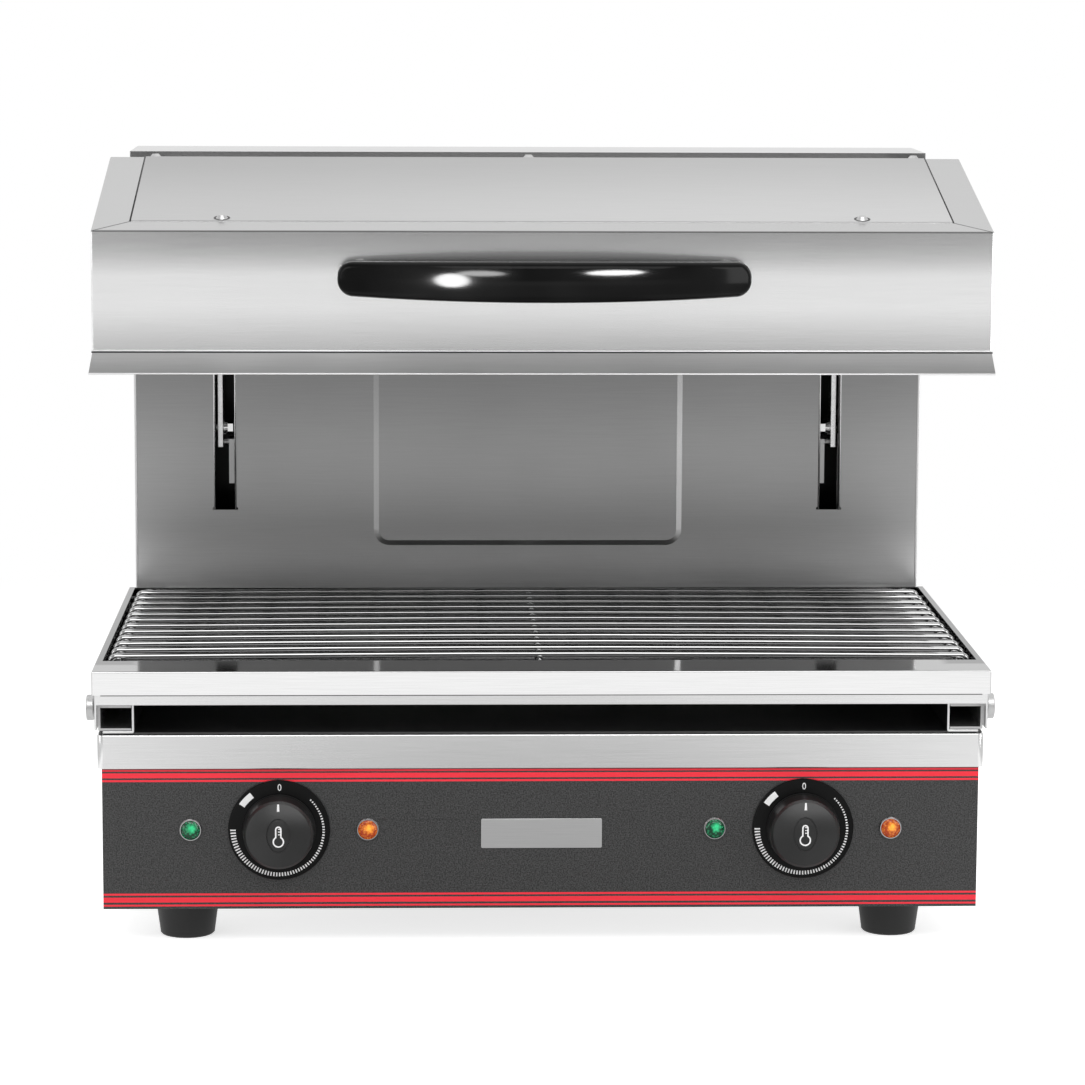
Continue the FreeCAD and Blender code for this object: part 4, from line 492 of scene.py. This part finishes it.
class Print:
    """Flat marks collected on a surface that faces the front, then made into one thin mesh."""

    def __init__(self, depth):
        self.depth = depth
        self.vertices = []
        self.faces = []

    def add(self, outline, y):
        """A thin plate with this outline (x, z), its back at y."""
        start = len(self.vertices)
        count = len(outline)
        for level in (y, y - self.depth):
            self.vertices += [(x, level, z) for x, z in outline]
        self.faces.append([start + index for index in range(count)][::-1])
        self.faces.append([start + count + index for index in range(count)])
        for index in range(count):
            after = (index + 1) % count
            self.faces.append([start + index, start + after,
                               start + count + after, start + count + index])

    def piece(self, name, material, body, slot=None):
        """The collected marks as one piece."""
        piece = mesh_piece(name, self.vertices, self.faces, material, body)
        editor = bmesh.new()
        editor.from_mesh(piece.data)
        bmesh.ops.recalc_face_normals(editor, faces=editor.faces)
        editor.to_mesh(piece.data)
        editor.free()
        return piece


def polar(centre, radius, angle):
    """A point round a centre; the angle runs clockwise from the top, in degrees."""
    turn = math.radians(angle)
    return centre[0] + radius * math.sin(turn), centre[1] + radius * math.cos(turn)


def ring_block(centre, inner, outer, start, end, steps):
    """Outline of a stretch of ring."""
    angles = [start + (end - start) * step / steps for step in range(steps + 1)]
    return ([polar(centre, outer, angle) for angle in angles]
            + [polar(centre, inner, angle) for angle in angles[::-1]])


# Dials

# Scale round a dial: its marks grow from the first to the last. Angles in degrees, from the top.
TICKS = 62
TICK_FIRST, TICK_LAST = 46.0, 270.0
TICK_INNER = 29.1 * MM
TICK_SHORT, TICK_LONG = 1.0 * MM, 3.7 * MM
TICK_HALF_ANGLE = 0.85
BLOCK_START, BLOCK_END = -56.0, -37.0
BLOCK_INNER, BLOCK_OUTER = 27.9 * MM, 32.2 * MM
PRINT_DEPTH = 0.05 * MM


def make_dial_print(side):
    """White scale and block round one dial."""
    centre = dial_centre(side)
    y = low("dial_rings").y
    marks = Print(PRINT_DEPTH)
    for step in range(TICKS + 1):
        share = step / TICKS
        angle = TICK_FIRST + (TICK_LAST - TICK_FIRST) * share
        length = TICK_SHORT + (TICK_LONG - TICK_SHORT) * share
        marks.add(ring_block(centre, TICK_INNER, TICK_INNER + length,
                             angle - TICK_HALF_ANGLE, angle + TICK_HALF_ANGLE, 1), y)
    marks.add(ring_block(centre, BLOCK_INNER, BLOCK_OUTER, BLOCK_START, BLOCK_END, 6), y)
    marks.piece(f"dial_scale_{side}", WHITE_INK, "grill_base", "printed_dial")
    zero_outline(side, centre, y)


ZERO_RADIUS, ZERO_SIDE = 29.3 * MM, 0.4 * MM
ZERO_WIDTH, ZERO_HEIGHT, ZERO_STROKE = 2.5 * MM, 4.6 * MM, 0.55 * MM


def zero_outline(side, centre, y):
    """The zero at the top of a dial."""
    middle = (centre[0] + ZERO_SIDE, centre[1] + ZERO_RADIUS)
    vertices = []
    faces = []
    steps = 32
    for level in (y, y - PRINT_DEPTH):
        for shrink in (0.0, ZERO_STROKE):
            for step in range(steps):
                turn = 2 * math.pi * step / steps
                vertices.append((middle[0] + (ZERO_WIDTH / 2 - shrink) * math.sin(turn), level,
                                 middle[1] + (ZERO_HEIGHT / 2 - shrink) * math.cos(turn)))
    for step in range(steps):
        after = (step + 1) % steps
        back_out, back_in, front_out, front_in = (row * steps for row in range(4))
        faces.append([front_out + step, front_in + step, front_in + after, front_out + after])
        faces.append([back_out + step, back_out + after, back_in + after, back_in + step])
        faces.append([back_out + step, front_out + step, front_out + after, back_out + after])
        faces.append([back_in + step, back_in + after, front_in + after, front_in + step])
    mesh_piece(f"dial_zero_{side}", vertices, faces, WHITE_INK, "grill_base")


POINTER_HALF, POINTER_LENGTH, POINTER_INSET = 0.85 * MM, 5.0 * MM, 3.2 * MM
BULB_RADIUS, STEM_RADIUS, SIGN_STROKE = 3.9 * MM, 2.2 * MM, 0.95 * MM
BULB_DROP, STEM_TOP = 4.4 * MM, 6.2 * MM
BULB_STEPS, STEM_STEPS = 24, 12
RUNGS, RUNG_FIRST, RUNG_PITCH, RUNG_HEIGHT = 3, 0.2 * MM, 1.9 * MM, 0.6 * MM
DISH_DEPTH = 0.8 * MM


def thermometer_outline(centre, inset):
    """Outline of a plain thermometer sign, drawn in by some amount."""
    bulb = (centre[0], centre[1] - BULB_DROP)
    bulb_radius = BULB_RADIUS - inset
    stem_radius = STEM_RADIUS - inset
    opening = math.asin(stem_radius / bulb_radius)
    outline = []
    for step in range(BULB_STEPS + 1):
        turn = opening + (2 * math.pi - 2 * opening) * step / BULB_STEPS
        outline.append((bulb[0] + bulb_radius * math.sin(turn),
                        bulb[1] + bulb_radius * math.cos(turn)))
    for step in range(STEM_STEPS + 1):
        turn = math.pi * step / STEM_STEPS
        outline.append((centre[0] - stem_radius * math.cos(turn),
                        centre[1] + STEM_TOP - STEM_RADIUS + stem_radius * math.sin(turn)))
    return outline


def make_knob_marks(side):
    """Pointer and thermometer sign on one knob."""
    centre = dial_centre(side)
    face = low(f"knob_{side}").y
    marks = Print(PRINT_DEPTH)
    top = high(f"knob_{side}").z - POINTER_INSET
    tip, foot = POINTER_HALF * 0.7, POINTER_HALF
    marks.add([(centre[0] - tip, top), (centre[0] - foot, top - POINTER_LENGTH),
               (centre[0] + foot, top - POINTER_LENGTH), (centre[0] + tip, top)], face)
    outer = thermometer_outline(centre, 0.0)
    inner = thermometer_outline(centre, SIGN_STROKE)
    count = len(outer)
    y = face + DISH_DEPTH
    for index in range(count):
        after = (index + 1) % count
        marks.add([outer[index], outer[after], inner[after], inner[index]], y)
    left, right = centre[0] - STEM_RADIUS * 0.1, centre[0] + STEM_RADIUS * 0.6
    for step in range(RUNGS):
        z = centre[1] + RUNG_FIRST + RUNG_PITCH * step
        marks.add([(left, z), (right, z), (right, z + RUNG_HEIGHT), (left, z + RUNG_HEIGHT)], y)
    marks.piece(f"knob_marks_{side}", WHITE_INK, f"dial_{side}", "black_knob")


PLATE_WIDTH, PLATE_HEIGHT, PLATE_DROP = 81.4 * MM, 20.2 * MM, 3.0 * MM
PLATE_CORNER, PLATE_THICKNESS = 1.0 * MM, 0.5 * MM


def make_plate():
    """Bare brushed plate between the dials."""
    y = low("front_fascia").y
    middle = dial_centre("left")[1] - PLATE_DROP
    outline = []
    for sign_x, sign_z, start in ((1, 1, 0), (1, -1, 90), (-1, -1, 180), (-1, 1, 270)):
        heart = (sign_x * (PLATE_WIDTH / 2 - PLATE_CORNER),
                 middle + sign_z * (PLATE_HEIGHT / 2 - PLATE_CORNER))
        outline += [polar(heart, PLATE_CORNER, start + 90 * step / 4) for step in range(5)]
    plate = Print(PLATE_THICKNESS)
    plate.add(outline, y)
    piece = plate.piece("bare_plate", PLATE_STEEL, "grill_base", "brushed_stainless")
    bevel = piece.modifiers.new("edges", "BEVEL")
    bevel.width = 0.2 * MM
    bevel.segments = 2


# Head details

MITRE_HALF, MITRE_RISE = 0.35 * MM, 0.05 * MM


def make_mitre_lines():
    """Fold joints between the head's face and its top corners."""
    vertices = []
    faces = []
    slope = (WINDOW_Z - EDGE_Z) / (WINDOW_Y - EDGE_Y)
    for side in (-1, 1):
        outer = Vector((side * (high("head_shell").x - 1.5 * MM), EDGE_Y + 0.6 * MM))
        inner = Vector((side * high("top_panel").x, WINDOW_Y - 0.3 * MM))
        way = (inner - outer).normalized()
        across = Vector((-way.y, way.x)) * MITRE_HALF
        start = len(vertices)
        for corner in (outer + across, outer - across, inner - across, inner + across):
            z = EDGE_Z + slope * (corner.y - EDGE_Y) + MITRE_RISE
            vertices.append((corner.x, corner.y, z))
        faces.append([start, start + 1, start + 2, start + 3])
    mesh_piece("head_mitre_lines", vertices, faces, DARK_SEAM_AND_SHADOW, "lifting_head")


KNURLS = 30
KNURL_HALF_ANGLE, KNURL_DEPTH = 3.2, 0.3 * MM
KNURL_START, KNURL_END = 0.9 * MM, 4.1 * MM


def make_knurls(side):
    """Fine ribs round a thumbscrew's head."""
    name = f"thumbscrew_{side}"
    lowest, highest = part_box(name)
    sign = 1 if side == "right" else -1
    radius = (highest.z - lowest.z) / 2
    centre_y, centre_z = (lowest.y + highest.y) / 2, (lowest.z + highest.z) / 2
    outer = highest.x if sign > 0 else lowest.x
    ends = (outer - sign * KNURL_START, outer - sign * KNURL_END)
    vertices = []
    faces = []
    for rib in range(KNURLS):
        angle = 360 * rib / KNURLS
        start = len(vertices)
        for x in ends:
            for turn, depth in ((-KNURL_HALF_ANGLE, KNURL_DEPTH), (0.0, 0.0),
                                (KNURL_HALF_ANGLE, KNURL_DEPTH)):
                y, z = polar((centre_y, centre_z), radius - depth, angle + turn)
                vertices.append((x, y, z))
        for corners in ((0, 1, 4, 3), (1, 2, 5, 4), (2, 0, 3, 5), (0, 2, 1), (3, 4, 5)):
            faces.append([start + corner for corner in corners])
    mesh_piece(f"thumb_knurl_{side}", vertices, faces, ZINC, name)


# Bright edges, painted highlights, seams and painted shadow lines

BEAD_STEPS = 10


def tube(name, points, sides, up, radius, material, body):
    """A thin round bead along some points, each with its own sideways vector."""
    steps = BEAD_STEPS
    vertices = []
    faces = []
    for point, side in zip(points, sides):
        for step in range(steps):
            turn = 2 * math.pi * step / steps
            vertices.append(Vector(point) + Vector(side) * radius * math.cos(turn)
                            + Vector(up) * radius * math.sin(turn))
    for row in range(len(points) - 1):
        for step in range(steps):
            after = (step + 1) % steps
            faces.append([row * steps + step, row * steps + after,
                          (row + 1) * steps + after, (row + 1) * steps + step])
    faces.append(list(range(steps))[::-1])
    faces.append([(len(points) - 1) * steps + step for step in range(steps)])
    piece = mesh_piece(name, vertices, faces, material, body)
    for polygon in piece.data.polygons:
        polygon.use_smooth = len(polygon.vertices) == 4


BEAD = 0.5 * MM


def skirt_bead(name, node, z, y_front, x_side, material):
    """A bead of the head round a sheet's left, front and right sides."""
    back = high(node).y
    points = [(-x_side, back, z), (-x_side, y_front, z), (x_side, y_front, z), (x_side, back, z)]
    sides = [(-1, 0, 0), (-1, -1, 0), (1, -1, 0), (1, 0, 0)]
    tube(name, points, sides, (0, 0, 1), BEAD, material, "lifting_head")


def make_head_hems():
    """Folded hems under the face and under the lip, painted near white as a highlight, and a
    painted shadow line between the two.
    """
    face_side = high("head_shell").x
    lip_low, lip_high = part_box("flared_lip")
    skirt_bead("face_hem", "head_shell", FACE_LOW + BEAD, EDGE_Y, face_side, HEM_HIGHLIGHT_STEEL)
    skirt_bead("lip_shadow_line", "head_shell", FACE_LOW - BEAD, EDGE_Y, face_side, DARK_SEAM_AND_SHADOW)
    skirt_bead("lip_hem", "flared_lip", lip_low.z + BEAD, lip_low.y + BEAD / 2,
               lip_high.x - BEAD / 2, HEM_HIGHLIGHT_STEEL)


TOP_SEAM_RADIUS, TRAY_SHADOW_RADIUS = 0.55 * MM, 0.35 * MM


def roof_height(y):
    """Height of the head's roof at a place along its depth."""
    slope = RIDGE_RISE / RIDGE_RUN if y < RIDGE_Y else -REAR_FALL / REAR_RUN
    return high("head_shell").z + (y - RIDGE_Y) * slope


def make_top_seams():
    """Dark gaps along both sides of the top panel."""
    side_x = high("top_panel").x + 0.3 * MM
    stops = [WINDOW_Y + 1 * MM, RIDGE_Y, high("top_panel").y - 1 * MM]
    for side, name in ((-1, "left"), (1, "right")):
        points = [(side * side_x, y, roof_height(y) + 0.1 * MM) for y in stops]
        tube(f"top_seam_{name}", points, [(1, 0, 0)] * 3, (0, 0, 1), TOP_SEAM_RADIUS, DARK_SEAM_AND_SHADOW,
             "lifting_head")


def make_tray_shadow_line():
    """Painted shadow line under the pan's front, where it overhangs the strip below it."""
    y, z = PAN_FRONT + 0.2 * MM, low("drip_pan").z - 0.2 * MM
    points = [(-PAN_SIDE + 6 * MM, y, z), (PAN_SIDE - 6 * MM, y, z)]
    tube("tray_shadow_line", points, [(0, 1, 0)] * 2, (0, 0, 1), TRAY_SHADOW_RADIUS, DARK_SEAM_AND_SHADOW,
         "tray")


SLOT_MIDDLE, SLOT_HALF = 227.4 * MM, 7.6 * MM
SLOT_LOW, SLOT_HIGH = 251.0 * MM, 499.5 * MM
SLOT_BEAD = 0.7 * MM


def make_slot_beads():
    """Bright bends along both sides of each slot."""
    for side, name in ((-1, "left"), (1, "right")):
        for edge, way in (("inner", -1), ("outer", 1)):
            x = side * (SLOT_MIDDLE + way * (SLOT_HALF + 0.2 * MM))
            points = [(x, SPLASH_Y, SLOT_LOW), (x, SPLASH_Y, SLOT_HIGH)]
            tube(f"slot_bend_{name}_{edge}", points, [(1, 0, 0)] * 2, (0, 1, 0), SLOT_BEAD,
                 BEND_STEEL, "grill_base")


# Painted shadow rings round the top panel's screws
SHADOW_RING_INNER, SHADOW_RING_OUTER, SHADOW_RING_RISE = 3.7 * MM, 5.5 * MM, 0.55 * MM
SHADOW_RING_STEPS = 24
# Middles of the top panel's screws as (x, y), in millimetres
SCREW_SPOTS = [(-213.0, -166.8), (213.0, -166.8), (-266.7, -6.5), (-5.0, -6.5), (266.7, -6.5)]


def make_screw_shadow_rings():
    """Painted shadow rings round the screws of the top panel."""
    vertices = []
    faces = []
    steps = SHADOW_RING_STEPS
    for x, y in SCREW_SPOTS:
        start = len(vertices)
        for radius in (SHADOW_RING_INNER, SHADOW_RING_OUTER):
            for step in range(steps):
                turn = 2 * math.pi * step / steps
                spot_y = y * MM + radius * math.sin(turn)
                vertices.append((x * MM + radius * math.cos(turn), spot_y,
                                 roof_height(spot_y) + SHADOW_RING_RISE))
        for step in range(steps):
            after = (step + 1) % steps
            faces.append([start + step, start + steps + step,
                          start + steps + after, start + after])
    mesh_piece("screw_shadow_rings", vertices, faces, DARK_SEAM_AND_SHADOW, "lifting_head")


# Studio

def make_camera():
    """Camera at the photograph's place."""
    data = bpy.data.cameras.new("camera")
    data.lens = CAMERA_LENS
    data.sensor_width = 36
    data.clip_start, data.clip_end = 0.1, 50
    camera = bpy.data.objects.new("camera", data)
    bpy.context.scene.collection.objects.link(camera)
    ahead = Vector((math.sin(CAMERA_YAW) * math.cos(CAMERA_PITCH),
                    math.cos(CAMERA_YAW) * math.cos(CAMERA_PITCH), -math.sin(CAMERA_PITCH)))
    turn = ahead.to_track_quat("-Z", "Y").to_matrix().to_4x4()
    camera.matrix_world = (Matrix.Translation(CAMERA_PLACE) @ turn
                           @ Matrix.Rotation(CAMERA_ROLL, 4, "Z"))
    bpy.context.scene.camera = camera


def area_light(name, place, aim, size, power, shape="RECTANGLE"):
    """A soft lamp."""
    data = bpy.data.lights.new(name, "AREA")
    data.shape = shape
    data.size, data.size_y = size
    data.energy = power
    lamp = bpy.data.objects.new(name, data)
    bpy.context.scene.collection.objects.link(lamp)
    lamp.location = place
    lamp.rotation_euler = (Vector(aim) - Vector(place)).to_track_quat("-Z", "Y").to_euler()
    lamp.visible_camera = False
    return lamp


def mirror_rays(tree, rays):
    """1 for glossy and transmission rays."""
    return sum_up(tree, "MAXIMUM", rays.outputs["Is Glossy Ray"],
                  rays.outputs["Is Transmission Ray"])


# Levels of the room: its even light, and what reflections see in front, behind and above
AMBIENT = 0.60
FRONT_DARK, FRONT_SIDE, FRONT_HIGH = 0.20, 0.60, 0.50
ROOM_BEHIND, ROOM_ABOVE = 0.95, 0.60
# Where those levels change, as parts of a direction of length 1
DARK_MIDDLE_X, DARK_EDGE = 0.035, (0.06, 0.26)
HIGH_EDGE, BEHIND_EDGE, ABOVE_EDGE = (0.40, 0.75), (-0.15, 0.2), (0.78, 0.92)


def make_world():
    """Even grey light. Reflections see a white room behind, a dark one in front and grey above."""
    world = bpy.data.worlds.new("studio")
    bpy.context.scene.world = world
    world.use_nodes = True
    tree = world.node_tree
    tree.nodes.clear()
    output = tree.nodes.new("ShaderNodeOutputWorld")
    room = tree.nodes.new("ShaderNodeBackground")
    room.inputs["Color"].default_value = (1, 1, 1, 1)
    place = tree.nodes.new("ShaderNodeTexCoord")
    axes = tree.nodes.new("ShaderNodeSeparateXYZ")
    tree.links.new(place.outputs["Generated"], axes.inputs["Vector"])
    aside = sum_up(tree, "ABSOLUTE", sum_up(tree, "SUBTRACT", axes.outputs["X"], DARK_MIDDLE_X))
    front = spread(tree, aside, FRONT_DARK, FRONT_SIDE, *DARK_EDGE, soft=True)
    front = blend(tree, soft_step(tree, axes.outputs["Z"], *HIGH_EDGE), front, FRONT_HIGH)
    behind = soft_step(tree, axes.outputs["Y"], *BEHIND_EDGE)
    mirrored = blend(tree, behind, front, ROOM_BEHIND)
    above = soft_step(tree, axes.outputs["Z"], *ABOVE_EDGE)
    mirrored = blend(tree, above, mirrored, ROOM_ABOVE)
    rays = tree.nodes.new("ShaderNodeLightPath")
    level = blend(tree, mirror_rays(tree, rays), AMBIENT, mirrored)
    level = sum_up(tree, "MAXIMUM", level, rays.outputs["Is Camera Ray"])
    tree.links.new(level, room.inputs["Strength"])
    tree.links.new(room.outputs["Background"], output.inputs["Surface"])


FLOOR_HALF = 9.0
FLOOR_LIFT = 0.62
FLOOR_NEAR, FLOOR_FAR = 0.55, 1.5
# What reflections see of the floor: near the object a dim middle, paler sides and a plain outside
MIRROR_MIDDLE, MIRROR_SIDE, SIDE_EDGE = 0.50, 1.25, (0.05, 0.55)
MIRROR_OUTER, OUTER_EDGE = 0.6, (0.5, 0.75)
# Further off, belts that each start softly between two distances and reach to the next one
MIRROR_BELTS = [(0.95, 1.10, 0.98), (1.30, 1.55, 0.85), (3.2, 4.4, 1.25)]
# And a plain level for other views, by the ratio of sideways to forward distance
MIRROR_REST, REST_EDGE, REST_NEAR = 0.62, (0.5, 0.95), (0.95, 1.3)


def make_floor():
    """Pale floor with a soft shadow, which turns into plain white away from the object."""
    half = FLOOR_HALF
    mesh = bpy.data.meshes.new("floor")
    mesh.from_pydata([(-half, -half, 0), (half, -half, 0), (half, half, 0), (-half, half, 0)], [],
                     [(0, 1, 2, 3)])
    floor = bpy.data.objects.new("floor", mesh)
    bpy.context.scene.collection.objects.link(floor)
    material, tree, shader = new_material("pale_floor")
    mottle = grain(tree, 3, detail=2.0)
    tree.links.new(tint(tree, mottle, grey(0.86), grey(0.9)), shader.inputs["Base Color"])
    shader.inputs["Roughness"].default_value = 0.9
    shader.inputs["Specular IOR Level"].default_value = 0.0
    rays = tree.nodes.new("ShaderNodeLightPath")
    camera = rays.outputs["Is Camera Ray"]
    across, along = spot(tree, "X"), spot(tree, "Y")
    away = flat_length(tree, across, along)
    far = soft_step(tree, away, FLOOR_NEAR, FLOOR_FAR)
    outward = sum_up(tree, "ABSOLUTE", across)
    near_level = spread(tree, outward, MIRROR_MIDDLE, MIRROR_SIDE, *SIDE_EDGE, soft=True)
    mirrored = blend(tree, soft_step(tree, outward, *OUTER_EDGE), near_level, MIRROR_OUTER)
    for start, end, level in MIRROR_BELTS:
        mirrored = blend(tree, soft_step(tree, away, start, end), mirrored, level)
    forward = sum_up(tree, "MAXIMUM", sum_up(tree, "MULTIPLY", along, -1.0), 0.01)
    sideways = sum_up(tree, "DIVIDE", outward, forward)
    rest = sum_up(tree, "MULTIPLY", soft_step(tree, sideways, *REST_EDGE),
                  soft_step(tree, away, *REST_NEAR))
    mirrored = blend(tree, rest, mirrored, MIRROR_REST)
    lift = glow(tree, sum_up(tree, "MULTIPLY", camera, FLOOR_LIFT))
    near_floor = tree.nodes.new("ShaderNodeAddShader")
    tree.links.new(shader.outputs["BSDF"], near_floor.inputs[0])
    tree.links.new(lift, near_floor.inputs[1])
    seen = cover(tree, sum_up(tree, "MULTIPLY", camera, far), near_floor.outputs["Shader"],
                 glow(tree, 1.0))
    seen = cover(tree, mirror_rays(tree, rays), seen, glow(tree, mirrored))
    output = [node for node in tree.nodes if node.type == "OUTPUT_MATERIAL"][0]
    tree.links.new(seen, output.inputs["Surface"])
    paint(floor, material)


def glow(tree, strength):
    """White emission."""
    node = tree.nodes.new("ShaderNodeEmission")
    feed(tree, node.inputs["Strength"], strength)
    return node.outputs["Emission"]


def cover(tree, share, first, second):
    """One shader over another by a share."""
    node = tree.nodes.new("ShaderNodeMixShader")
    tree.links.new(share, node.inputs["Fac"])
    tree.links.new(first, node.inputs[1])
    tree.links.new(second, node.inputs[2])
    return node.outputs["Shader"]


# Name, place, size and watts of each lamp, and where they aim
SOFTBOXES = [("key", (0.2, -2.2, 2.3), (3.0, 1.5), 44),
             ("left_box", (-2.3, -1.3, 1.0), (0.8, 1.6), 9),
             ("right_box", (2.1, -1.4, 0.9), (0.6, 1.6), 12),
             ("top_box", (0, 0.5, 2.6), (2.6, 2.0), 9)]
GLINTS = [("left_glint", (-1.03, -2.50, 0.33), (0.42, 0.62), 95),
          ("left_tail", (-0.66, -2.50, 0.66), (0.55, 0.22), 18),
          ("right_glint", (0.88, -2.50, 0.70), (0.70, 0.22), 62)]
OBJECT_MIDDLE, HANDLE_FRONT = (0, 0, 0.3), (0, -0.24, 0.455)


def make_lamps():
    """Softboxes in front, at both sides and overhead, and three small lamps for the handle only."""
    for name, place, size, power in SOFTBOXES:
        area_light(name, place, OBJECT_MIDDLE, size, power)
    handle_only = bpy.data.collections.new("handle_only")
    handle_only.objects.link(NODES["handle"])
    for name, place, size, power in GLINTS:
        lamp = area_light(name, place, HANDLE_FRONT, size, power, "ELLIPSE")
        lamp.light_linking.receiver_collection = handle_only


finish_nodes()
for side in ("left", "right"):
    make_dial_print(side)
    make_knob_marks(side)
    make_knurls(side)
make_plate()
make_mitre_lines()
make_head_hems()
make_slot_beads()
make_top_seams()
make_tray_shadow_line()
make_screw_shadow_rings()
make_camera()
make_world()
make_floor()
make_lamps()
bpy.context.scene.view_settings.view_transform = "Standard"
